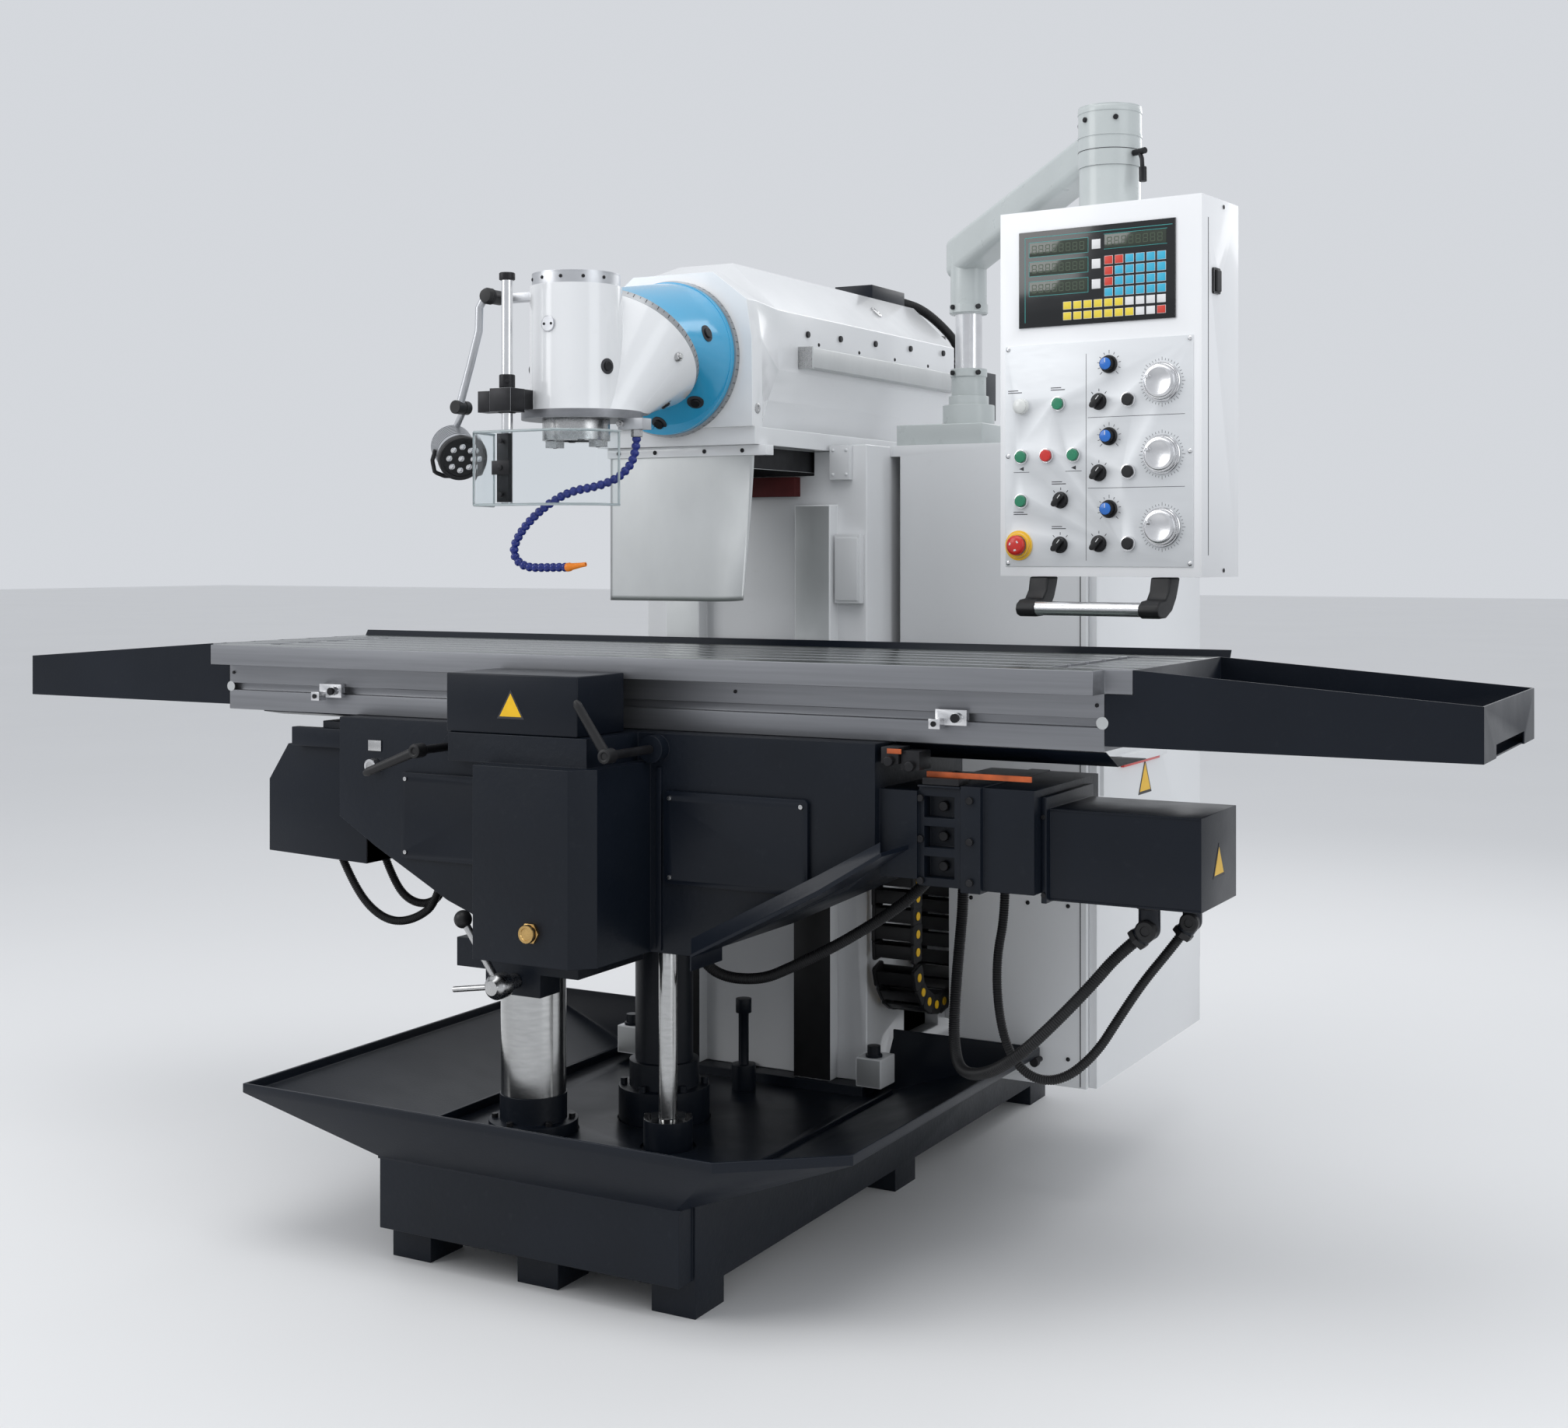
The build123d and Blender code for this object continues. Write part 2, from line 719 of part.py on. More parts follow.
def make_conduits():
    with BuildPart() as drive_conduit:
        cord(drive_conduit_route, conduit, "drive_conduit")
    with BuildPart() as motor_conduit:
        cord(motor_conduit_route, thin_conduit, "motor_conduit")
    with BuildPart() as right_conduits:
        add(drive_conduit.part)
        add(motor_conduit.part)
    save(right_conduits, "right_conduits")
    with BuildPart() as front_conduit:
        cord(front_conduit_route, conduit, "front_conduit")
    save(front_conduit, "front_conduit")
    with BuildPart() as left_outer:
        cord(left_outer_route, thin_conduit, "left_outer")
    with BuildPart() as left_inner:
        cord(left_inner_route, thin_conduit, "left_inner")
    with BuildPart() as left_conduits:
        add(left_outer.part)
        add(left_inner.part)
    save(left_conduits, "left_conduits")


def make_head_fittings():
    """Fittings on the head: the guard's clamp, the lamp's bracket and the coolant block."""
    px, py = guard_post
    with BuildPart() as guard_clamp:
        block(px - 24, px + 24, py - 22, py + 22, clamp_low, clamp_high)
        block(-64, -45, py + 20, -346, head_bottom, clamp_high)
        bar(
            (px, py, clamp_low - 1), (px, py, clamp_high + 1),
            post_radius + running_gap, mode=Mode.SUBTRACT,
        )
        block(px - 56, px - 24.2, py - 16, py + 16, clamp_low, clamp_high - 4)
    with BuildPart() as lamp_bracket:
        lx, lz = lamp_knob[0], lamp_knob[2]
        block(lx - 16, -head_radius, spindle_y - 12, spindle_y + 12, lz - 8, lz + 8)
    with BuildPart() as coolant_block:
        block(92, 146, -264, -232, coolant_top, head_bottom - head_plate)
    with BuildPart() as head_fittings:
        add(guard_clamp.part)
        add(lamp_bracket.part)
        add(coolant_block.part)
    save(head_fittings, "head_fittings")


# ---------------------------------------------------------------- table
def make_table():
    slab_bottom = table_top - slab_thick
    left = table_shift - table_half
    right = table_shift + table_half
    with BuildPart() as table:
        block(left, right, body_front, table_rear, slab_bottom, table_top)
        block(
            table_shift - flange_half, table_shift + flange_half,
            table_front, body_front, slab_bottom, table_top,
        )
        block(
            table_shift - flange_half, table_shift + flange_half,
            body_front, table_rear, body_bottom, slab_bottom,
        )
        # tee slots along the table
        with BuildSketch(side_plane(left - 1)):
            for index in range(slot_count):
                y = slot_middle + slot_pitch * (index - (slot_count - 1) / 2)
                with Locations((y, table_top - slot_depth / 2 + 0.5)):
                    Rectangle(slot_width, slot_depth + 1)
                with Locations((y, table_top - slot_depth - tee_depth / 2)):
                    Rectangle(tee_width, tee_depth)
        extrude(amount=2 * table_half + 2, mode=Mode.SUBTRACT)
        # coolant gutters across both ends
        for x in (table_shift - 905, table_shift + 905):
            block(x - 14, x + 14, -150, 250, table_top - 16, table_top + 1, mode=Mode.SUBTRACT)
        # groove for the stop dogs, and its entry holes
        block(
            left - 1, right + 1, body_front - 1, body_front + dog_slot_depth,
            dog_slot_z - dog_slot_width / 2, dog_slot_z + dog_slot_width / 2, mode=Mode.SUBTRACT,
        )
        # channel for the table's screw
        block(left - 1, right + 1, -40, 170, body_bottom - 1, body_bottom + 46, mode=Mode.SUBTRACT)
    save(table, "table")


def end_tray(side):
    """A long drip tray at one end of the table, with a sloping rim."""
    inner = table_half + panel_gap
    outer = table_half + end_tray_length
    wall = end_tray_wall
    low = body_bottom + 10
    with BuildPart() as tray:
        prism(front_plane(table_rear), [
            (inner, low), (inner, table_top), (outer, table_top - end_tray_drop), (outer, low),
        ], table_rear - body_front)
        prism(front_plane(table_rear - wall), [
            (inner + wall, low + wall), (inner + wall, table_top + 5),
            (outer - wall, table_top + 5), (outer - wall, low + wall),
        ], table_rear - body_front - 2 * wall, mode=Mode.SUBTRACT)
        block(
            outer - wall - 1, outer + 1, body_front + 110,
            table_rear - 110, low - 1, low + 22, mode=Mode.SUBTRACT,
        )
        block(outer - wall - 40, outer - wall, body_front + wall, table_rear - wall, low + 22, low + 25)
        block(
            flange_half + panel_gap, inner + wall, body_front,
            body_front + wall, low, table_top - slab_thick - panel_gap,
        )
    part = tray.part
    if side < 0:
        part = part.mirror(Plane.YZ)
    return part.moved(Location((table_shift, 0, 0)))


def make_table_guards():
    with BuildPart() as rear_plate:
        prism(side_plane(table_shift - table_half - 15), [
            (table_rear + 0.2, table_top - 36), (table_rear + 2.2, table_top - 36),
            (table_rear + 32, table_top + 12), (table_rear + 30, table_top + 12),
            (table_rear + 0.2, table_top - 34),
        ], 2 * table_half + 30)
    with BuildPart() as table_guards:
        add(end_tray(-1))
        add(end_tray(1))
        add(rear_plate.part)
    save(table_guards, "table_guards")


def make_stop_dog(name, x):
    """A trip dog clamped in the groove on the table's front."""
    with BuildPart() as dog:
        block(x - 30, x + 30, body_front - 13, body_front - slide_gap, dog_slot_z - 14, dog_slot_z + 14)
        block(x - 18, x + 18, body_front - slide_gap - 1, body_front + dog_slot_depth - 2,
              dog_slot_z - dog_slot_width / 2 + slide_gap, dog_slot_z + dog_slot_width / 2 - slide_gap)
        block(x - 34, x - 12, body_front - 34, body_front - 12, dog_slot_z - 20, dog_slot_z - 2)
        bar((x + 14, body_front - 12, dog_slot_z), (x + 14, body_front - 24, dog_slot_z), 9)
    save(dog, name)


# ---------------------------------------------------------------- ram
ram_top = 1966.0
ram_top_half = 66.0
ram_side_half = 176.0
ram_shoulder = 1861.0
ram_waist = 1737.0
ram_foot_half = 150.0
ram_foot = ram_way_z + guide_thick


def ram_outline():
    """Half of the ram's eight-sided section, from the top to the foot, mirrored."""
    right = [
        (ram_top_half, ram_top), (ram_side_half, ram_shoulder), (ram_side_half, ram_waist),
        (ram_foot_half, 1675), (ram_foot_half - 18, ram_foot),
    ]
    left = [(-x, z) for x, z in reversed(right)]
    return right + left


def make_ram_casting():
    nose = [
        (96, 1930), (176, 1870), (188, 1790), (190, 1660), (190, ram_foot),
        (-190, ram_foot), (-190, 1660), (-188, 1790), (-176, 1870), (-96, 1930),
    ]
    with BuildPart() as ram_casting:
        prism(front_plane(ram_rear), ram_outline(), ram_rear - ram_body_front)
        with BuildSketch(front_plane(ram_body_front)) as back:
            with BuildLine():
                Polyline(*ram_outline(), close=True)
            make_face()
        with BuildSketch(front_plane(ram_face + 40)) as front:
            with BuildLine():
                Polyline(*nose, close=True)
            make_face()
        loft([back.sketch.face(), front.sketch.face()])
        prism(front_plane(ram_face + 40), nose, 40)
        block(-ram_way_half, ram_way_half, ram_face + 10, ram_rear, ram_way_z + slide_gap, ram_foot)
        bar((0, ram_rear + 1, ram_z), (0, ram_face - 1, ram_z), ram_bore, mode=Mode.SUBTRACT)
    save(ram_casting, "ram_casting")


def make_ram_trim():
    """The scale's cover on the ram's side and the cover of the screw under it."""
    with BuildPart() as scale_cover:
        block(ram_side_half, ram_side_half + 30, 300, 1080, ram_waist + 12, ram_waist + 54)
        block(ram_side_half, ram_side_half + 34, 296, 300, ram_waist + 8, ram_waist + 56)
    with BuildPart() as screw_cover:
        trough = ram_way_half - ram_way_land
        block(-trough, trough, 150, 1080, ram_trough_z + 6, ram_way_z + slide_gap)
        block(-trough + 4, trough - 4, 154, 1076, ram_trough_z + 5, ram_way_z - 8, mode=Mode.SUBTRACT)
    with BuildPart() as ram_trim:
        add(scale_cover.part)
        add(screw_cover.part)
    save(ram_trim, "ram_trim")


def make_spindle_motor():
    """The motor flanged to the ram's rear, with its terminal box and fan cowl."""
    with BuildPart() as spindle_motor:
        block(-140, 140, ram_rear, ram_rear + 30, ram_z - 140, ram_z + 140)
        bar((0, ram_rear + 30, ram_z), (0, ram_rear + 320, ram_z), 125)
        bar((0, ram_rear + 320, ram_z), (0, ram_rear + 380, ram_z), 118)
        block(60, 190, ram_rear + 90, ram_rear + 230, ram_z - motor_box_rise, ram_z + motor_box_rise)
        bar((0, ram_rear, ram_z), (0, ram_rear - 60, ram_z), ram_bore - 2)
    with BuildPart() as junction_box:
        block(-40, 60, 880, 1060, ram_top, ram_top + 34)
    with BuildPart() as whole:
        add(spindle_motor.part)
        add(junction_box.part)
    save(whole, "spindle_motor")


hose_diameter = 24.0
motor_box_rise = 60.0
ram_hose_route = [
    (30, 1060, ram_top + 17), (30, 1115, ram_top + 17), (56, 1168, ram_top + 6),
    (92, 1214, ram_top - 34), (125, 1250, ram_top - 86), (125, 1250, ram_z + motor_box_rise),
]


def make_ram_hose():
    with BuildPart() as ram_hose:
        cord(ram_hose_route, hose_diameter, "ram_hose")
    save(ram_hose, "ram_hose")


def make_splash_sheet():
    """The steel sheet that hangs below the ram's nose, and the strip that holds it."""
    top = ram_way_z + slide_gap
    with BuildPart() as hanger:
        block(-sheet_half, sheet_half, sheet_y, sheet_y + 24, top - 34, top)
    with BuildPart() as sheet:
        block(-sheet_half, sheet_half, sheet_y - sheet_thick, sheet_y, sheet_bottom, top - 8)
    with BuildPart() as splash_sheet:
        add(hanger.part)
        add(sheet.part)
    save(splash_sheet, "splash_sheet")


coolant_diameter = 17.0
coolant_route = [
    (124, -248, coolant_top), (124, -248, 1545), (112, -272, 1505), (76, -302, 1482),
    (22, -324, 1474), (-36, -334, 1440), (-84, -336, 1396), (-104, -334, 1356),
    (-78, -332, 1330), (-28, -330, 1330), (24, -329, 1331),
]
nozzle_tip = (66, -326, 1337)


def make_coolant_hose():
    """The ball-jointed coolant hose that hangs from its block, with its nozzle."""
    with BuildPart() as hose:
        cord(coolant_route, coolant_diameter, "coolant_hose")
    with BuildPart() as nozzle:
        lever_arm(coolant_route[-1], nozzle_tip, 10, 3.5)
    with BuildPart() as coolant_hose:
        add(hose.part)
        add(nozzle.part)
    save(coolant_hose, "coolant_hose")


# ---------------------------------------------------------------- swivel head
tilt = Vector(0, -1 / sqrt(2), -1 / sqrt(2))
joint_centre = Vector(0, joint_y, ram_z)


def joint_plane(distance):
    """The inclined joint's plane, moved along its axis towards the spindle."""
    origin = joint_centre + tilt * distance
    return Plane(origin=origin, x_dir=(1, 0, 0), z_dir=tilt)


def make_swivel_housing():
    ring = 14.0
    with BuildPart() as swivel_housing:
        with BuildSketch(joint_plane(-ring)) as inclined:
            Circle(swivel_radius - 2)
        with BuildSketch(front_plane(ram_face - slide_gap - ring)) as upright:
            with Locations((0, ram_z)):
                Circle(swivel_flange - 4)
        loft([inclined.sketch.face(), upright.sketch.face()])
        bar((0, ram_face - slide_gap, ram_z), (0, ram_face - slide_gap - ring, ram_z), swivel_flange)
        with BuildSketch(joint_plane(-ring)):
            Circle(swivel_radius)
        extrude(amount=ring)
        bar((0, ram_face - slide_gap, ram_z), (0, ram_face + 60, ram_z), ram_bore - running_gap)
        for turn in range(6):
            angle = radians(15 + 60 * turn)
            x = (swivel_flange - 22) * cos(angle)
            z = ram_z + (swivel_flange - 22) * sin(angle)
            bar((x, ram_face - ring, z), (x, ram_face - ring - 16, z), 11)
    save(swivel_housing, "swivel_housing")


def make_head_casting():
    with BuildPart() as head_casting:
        bar((0, spindle_y, head_bottom - head_plate), (0, spindle_y, head_top), head_radius)
        bar((0, spindle_y, head_top - 1), (0, spindle_y, head_top + 24), head_radius - 4)
        # what lies beyond the inclined joint is cut back so that the head can turn
        with BuildSketch(joint_plane(slide_gap + 0.6)) as cut:
            Circle(3 * swivel_radius)
        extrude(cut.sketch, amount=-300, mode=Mode.SUBTRACT)
        with BuildSketch(joint_plane(slide_gap)) as joint_face:
            Circle(swivel_radius)
        with BuildSketch(Plane.XY.offset(head_bottom - 2)) as bottom_face:
            with Locations((0, spindle_y + 52)):
                Circle(head_radius + 22)
        loft([joint_face.sketch.face(), bottom_face.sketch.face()])
        with BuildSketch(Plane.XY.offset(head_bottom - head_plate)) as plate:
            with Locations((0, spindle_y + 20)):
                Circle(head_radius + 28)
        extrude(plate.sketch, amount=head_plate)
        # the spindle's bore
        low = head_bottom - head_plate - 1
        bar(
            (0, spindle_y, low), (0, spindle_y, head_top + 4),
            spindle_shaft + running_gap, mode=Mode.SUBTRACT,
        )
    save(head_casting, "head_casting")


def make_spindle():
    """Nose with two drive keys and a 7:24 taper, on its shaft."""
    big_end = 34.925
    taper_depth = 101.6
    small_end = big_end - taper_depth * 7 / 48
    key_half = 12.7
    key_spot = 50.0
    with BuildPart() as spindle:
        nose_top = head_bottom - head_plate - slide_gap
        bar((0, spindle_y, nose_face), (0, spindle_y, nose_top), nose_radius)
        bar((0, spindle_y, nose_face + 4), (0, spindle_y, head_top - 12), spindle_shaft)
        with BuildSketch(Plane.XY.offset(nose_face)) as mouth:
            with Locations((0, spindle_y)):
                Circle(big_end)
        with BuildSketch(Plane.XY.offset(nose_face + taper_depth)) as throat:
            with Locations((0, spindle_y)):
                Circle(small_end)
        loft([mouth.sketch.face(), throat.sketch.face()], mode=Mode.SUBTRACT)
        for x in (-key_spot, key_spot):
            block(
                x - key_half, x + key_half, spindle_y - key_half, spindle_y + key_half,
                nose_face - key_half, nose_face + 2,
            )
    save(spindle, "spindle")


def make_guard_post():
    """The post that turns in its clamp and carries the bent clear screen."""
    px, py = guard_post
    front = py - 14
    with BuildPart() as post:
        bar((px, py, 1446), (px, py, 1872), post_radius)
        bar((px, py, 1872), (px, py, 1880), 15)
        bar((px, py, clamp_high + slide_gap), (px, py, clamp_high + 26), 15)
        block(px - 14, px + 14, front, py - 4, 1452, 1580)
    with BuildPart() as screen:
        prism(Plane.XY.offset(1447), [
            (-152, -330), (-134, front - 5), (56, front - 5), (116, -366), (126, -310),
            (121, -309), (111.5, -363), (54, front), (-130, front), (-147, -329),
        ], 137)
    with BuildPart() as guard_screen:
        add(post.part)
        add(screen.part)
    save(guard_screen, "guard_screen")


lamp_knob = (-170.0, -300.0, 1852.0)
lamp_elbow = (-255.0, -300.0, 1642.0)
lamp_face = Vector(-236, -318, 1541)
lamp_aim = Vector(0.74, -0.56, -0.38).normalized()


def make_lamp_bracket_and_arm():
    kx, ky, kz = lamp_knob
    ex, ey, ez = lamp_elbow
    with BuildPart() as lamp_arm:
        bar((kx, spindle_y - 12 - slide_gap, kz), (kx, ky - 12, kz), 16)
        bar((kx, ky, kz), (kx - 34, ky, kz - 10), 8)
        bar((kx - 34, ky, kz - 10), (ex, ey, ez), 8)
        with Locations((kx - 34, ky, kz - 10)):
            Sphere(8)
        bar((ex, ey - 13, ez), (ex, ey + 9, ez), 14)
    save(lamp_arm, "lamp_arm")


def make_lamp_head():
    ex, ey, ez = lamp_elbow
    pivot_y = ey + 9 + slide_gap
    back = lamp_face - lamp_aim * 84
    with BuildPart() as lamp_head:
        bar((ex, pivot_y, ez), (ex, pivot_y + 16, ez), 14)
        bar((ex, pivot_y + 8, ez), back + Vector(0, 0, 10), 7)
        bar(back, lamp_face, 42)
        bar(lamp_face - lamp_aim * 12, lamp_face + lamp_aim * 4, 45)
    save(lamp_head, "lamp_head")


# ---------------------------------------------------------------- pendant
across = Vector(cos(radians(box_yaw)), sin(radians(box_yaw)), 0)
outward = Vector(sin(radians(box_yaw)), -cos(radians(box_yaw)), 0)


def pendant_plane(distance):
    """The pendant's front: local x to the right, local y up, extrusion towards the operator."""
    origin = Vector(box_x, box_y, box_z) + outward * distance
    return Plane(origin=origin, x_dir=across, z_dir=outward)


def make_pendant_arm():
    low = cabinet_top + 110 + slide_gap
    elbow_low = 1882.0
    with BuildPart() as pendant_arm:
        bar((arm_x, arm_y, low), (arm_x, arm_y, 1762), 38)
        bar((arm_x, arm_y, 1762), (arm_x, arm_y, elbow_low), arm_tube_radius)
        bar((arm_x, arm_y, elbow_low), (arm_x, arm_y, 2010), 40)
        run = Vector(post_x - arm_x, post_y - arm_y, 0)
        start = Vector(arm_x, arm_y, 2010) - run.normalized() * 30
        end = Vector(post_x, post_y, 2140)
        with BuildSketch(Plane(origin=start, x_dir=Vector(-run.Y, run.X, 0), z_dir=run)):
            RectangleRounded(80, 90, 20)
        with BuildSketch(Plane(origin=end, x_dir=Vector(-run.Y, run.X, 0), z_dir=run)):
            RectangleRounded(76, 74, 18)
        loft()
        bar((post_x, post_y, 2090), (post_x, post_y, 2206), 60)
    save(pendant_arm, "pendant_arm")


panel_thick = 2.0
stop_travel = 6.0
stop_radius = 19.0
key_travel = 3.0
key_height = 546.0


def make_pendant_box():
    post_low = box_z + box_height
    with BuildPart() as pendant_box:
        with BuildSketch(pendant_plane(-box_depth)):
            with Locations((box_width / 2, box_height / 2)):
                Rectangle(box_width, box_height)
        extrude(amount=box_depth)
        with BuildSketch(pendant_plane(-box_depth + 4)):
            with Locations((box_width / 2, box_height / 2)):
                Rectangle(box_width - 8, box_height - 8)
        extrude(amount=box_depth - 8, mode=Mode.SUBTRACT)
        bar((post_x, post_y, post_low), (post_x, post_y, 2090 - slide_gap), 58)
    with BuildPart() as dro_window:
        with BuildSketch(pendant_plane(0)):
            with Locations((204, 568)):
                Rectangle(324, 184)
        extrude(amount=3)
    with BuildPart() as control_plate:
        with BuildSketch(pendant_plane(0)):
            with Locations((206, 231)):
                Rectangle(388, 424)
        extrude(amount=panel_thick)
        with BuildSketch(pendant_plane(panel_thick)):
            for x, z in button_spots:
                with Locations((x, z)):
                    Circle(14.5)
                    Circle(11.5, mode=Mode.SUBTRACT)
        extrude(amount=5)
        for rim, rise in ((29, 3), (24, stop_travel + 2)):
            with BuildSketch(pendant_plane(panel_thick)):
                with Locations(estop_spot):
                    Circle(rim)
                    Circle(stop_radius + slide_gap, mode=Mode.SUBTRACT)
            extrude(amount=rise)
        with BuildSketch(pendant_plane(panel_thick)):
            with Locations((48, 326)):
                Circle(15)
        extrude(amount=9)
    with BuildPart() as key_frame:
        with BuildSketch(side_plane_of_pendant(0)):
            with Locations((0, key_height)):
                RectangleRounded(30, 48, 4)
                RectangleRounded(22 + 2 * slide_gap, 40 + 2 * slide_gap, 3, mode=Mode.SUBTRACT)
        extrude(amount=key_travel + 2)
    with BuildPart() as whole:
        add(pendant_box.part)
        add(dro_window.part)
        add(control_plate.part)
        add(key_frame.part)
    save(whole, "pendant_box")


button_spots = [
    (127, 328), (48, 229), (159, 230), (48, 144), (102, 230), (272, 330), (272, 196), (272, 62),
]
button_names = [
    "power_button", "jog_left_button", "jog_right_button", "tool_button", "stop_button",
    "x_axis_button", "y_axis_button", "z_axis_button",
]
estop_spot = (42, 59)
selector_spots = {
    "mode_selector": (131, 145),
    "spindle_selector": (130, 60),
    "x_feed_selector": (211, 329),
    "y_feed_selector": (211, 195),
    "z_feed_selector": (211, 62),
}
dial_spots = {
    "x_speed_dial": (232, 398),
    "y_speed_dial": (232, 263),
    "z_speed_dial": (232, 127),
}
handwheel_spots = {
    "x_handwheel": (339, 360),
    "y_handwheel": (339, 226),
    "z_handwheel": (339, 92),
}


def make_push_button(name, spot):
    with BuildPart() as button:
        with BuildSketch(pendant_plane(panel_thick + 4.2)):
            with Locations(spot):
                Circle(11.5 - 0.3)
        extrude(amount=6)
    save(button, name)


def make_emergency_stop():
    head_start = panel_thick + stop_travel + 0.3
    with BuildPart() as emergency_stop:
        with BuildSketch(pendant_plane(head_start)):
            with Locations(estop_spot):
                Circle(stop_radius)
        extrude(amount=16)
        fillet(emergency_stop.faces().sort_by(Axis.Y)[0].edges(), 5)
    save(emergency_stop, "emergency_stop")


def make_selector(name, spot):
    with BuildPart() as selector:
        with BuildSketch(pendant_plane(panel_thick + 0.3)):
            with Locations(spot):
                Circle(16)
        extrude(amount=7)
        with BuildSketch(pendant_plane(panel_thick + 7.3)):
            with Locations(Location((spot[0], spot[1], 0), (0, 0, 1), -40)):
                RectangleRounded(11, 31, 5)
        extrude(amount=13)
    save(selector, name)


def make_dial(name, spot):
    with BuildPart() as dial:
        with BuildSketch(pendant_plane(panel_thick + 0.3)):
            with Locations(spot):
                Circle(17)
        extrude(amount=5)
        with BuildSketch(pendant_plane(panel_thick + 5.3)):
            with Locations(spot):
                Circle(13)
        extrude(amount=14)
    save(dial, name)


def make_handwheel(name, spot):
    """An electronic handwheel: a dial plate with a knurled rim and a small crank knob."""
    with BuildPart() as handwheel:
        with BuildSketch(pendant_plane(panel_thick + 0.3)):
            with Locations(spot):
                Circle(37)
        extrude(amount=12)
        with BuildSketch(pendant_plane(panel_thick + 12.3)):
            with Locations(spot):
                Circle(30)
        extrude(amount=6)
        with BuildSketch(pendant_plane(panel_thick + 18.3)):
            with Locations((spot[0] + 15, spot[1] - 12)):
                Circle(7)
        extrude(amount=14)
    save(handwheel, name)


def side_plane_of_pendant(distance):
    """The pendant's right side: local x to its front, local y up, extrusion outwards."""
    origin = Vector(box_x, box_y, box_z) + across * (box_width + distance) - outward * 60
    return Plane(origin=origin, x_dir=-outward, z_dir=across)


def make_side_key():
    """The push key on the pendant's right side."""
    with BuildPart() as side_key:
        with BuildSketch(side_plane_of_pendant(key_travel + 0.3)):
            with Locations((0, key_height)):
                RectangleRounded(22, 40, 3)
        extrude(amount=6)
    save(side_key, "side_key")


def make_pendant_handle():
    """A tube across the pendant's lower front, on two angled brackets."""
    drop = 60.0
    reach = 40.0
    inset = 62.0
    bracket_width = 40.0
    corner = Vector(box_x, box_y, box_z)
    left = corner + across * inset + outward * reach - Vector(0, 0, drop)
    right = left + across * (box_width - 2 * inset)
    with BuildPart() as pendant_handle:
        bar(left, right, 14)
        for end in (left, right - across * bracket_width):
            start = end - outward * (reach + 26) + Vector(0, 0, drop - slide_gap)
            with BuildSketch(Plane(origin=start, x_dir=across, z_dir=(0, 0, -1))) as top:
                with Locations((bracket_width / 2, 0)):
                    Rectangle(bracket_width, 44)
            with BuildSketch(Plane(origin=end - Vector(0, 0, 6), x_dir=across, z_dir=(0, 0, -1))) as foot:
                with Locations((bracket_width / 2, 0)):
                    Rectangle(bracket_width, 22)
            loft([top.sketch.face(), foot.sketch.face()])
    save(pendant_handle, "pendant_handle")


make_base_casting()
make_chip_tray()
make_column()
make_cabinet()
make_cabinet_door()
make_lifting_columns()
make_arm_pedestal()
make_drag_chain()
make_knee_casting()
make_knee_covers()
make_electric_box()
make_motor_covers()
make_knee_guards()
make_table_lever("table_lever_left", left_lock, -366, (-126, -50))
make_table_lever("table_lever_right", right_lock, -400, (-64, 98))
make_column_lever()
make_conduits()
make_head_fittings()
make_table()
make_table_guards()
make_stop_dog("stop_dog_left", -678)
make_stop_dog("stop_dog_right", 746)
make_ram_casting()
make_ram_trim()
make_spindle_motor()
make_ram_hose()
make_splash_sheet()
make_coolant_hose()
make_swivel_housing()
make_head_casting()
make_spindle()
make_guard_post()
make_lamp_bracket_and_arm()
make_lamp_head()
make_pendant_arm()
make_pendant_box()
make_pendant_handle()
for button_name, button_spot in zip(button_names, button_spots):
    make_push_button(button_name, button_spot)
make_emergency_stop()
for knob_name, knob_spot in selector_spots.items():
    make_selector(knob_name, knob_spot)
for knob_name, knob_spot in dial_spots.items():
    make_dial(knob_name, knob_spot)
for knob_name, knob_spot in handwheel_spots.items():
    make_handwheel(knob_name, knob_spot)
make_side_key()
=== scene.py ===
import bpy, bmesh, json
from math import sin, cos, pi, radians, sqrt
from mathutils import Vector, Matrix


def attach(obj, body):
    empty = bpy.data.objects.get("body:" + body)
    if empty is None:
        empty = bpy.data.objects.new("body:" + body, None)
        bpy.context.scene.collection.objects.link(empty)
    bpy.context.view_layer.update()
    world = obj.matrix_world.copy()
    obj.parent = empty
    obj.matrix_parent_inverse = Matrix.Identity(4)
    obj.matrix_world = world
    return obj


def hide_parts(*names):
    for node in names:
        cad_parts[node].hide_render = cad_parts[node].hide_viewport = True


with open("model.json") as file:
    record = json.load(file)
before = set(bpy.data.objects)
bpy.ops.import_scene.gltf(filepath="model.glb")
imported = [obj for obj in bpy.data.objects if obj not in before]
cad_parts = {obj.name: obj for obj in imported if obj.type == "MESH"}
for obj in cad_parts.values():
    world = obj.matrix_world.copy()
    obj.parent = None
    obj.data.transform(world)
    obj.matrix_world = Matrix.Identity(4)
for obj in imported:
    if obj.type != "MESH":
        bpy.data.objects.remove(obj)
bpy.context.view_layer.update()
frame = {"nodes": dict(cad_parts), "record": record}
NODES = frame["nodes"]
BODY = {n: b for b, ns in frame["record"]["behaviour"]["bodies"].items() for n in ns}
MM = 0.001
UP, DOWN, FRONT, BACK, RIGHT = (0, 0, 1), (0, 0, -1), (0, -1, 0), (0, 1, 0), (1, 0, 0)
PHOTO_WIDTH, PHOTO_HEIGHT = 2016, 1836
FOCAL_LENGTH, HORIZON = 2584, 711.4


def P(x, y, z):
    """A place in mm, as a vector in metres."""
    return Vector((x * MM, y * MM, z * MM))


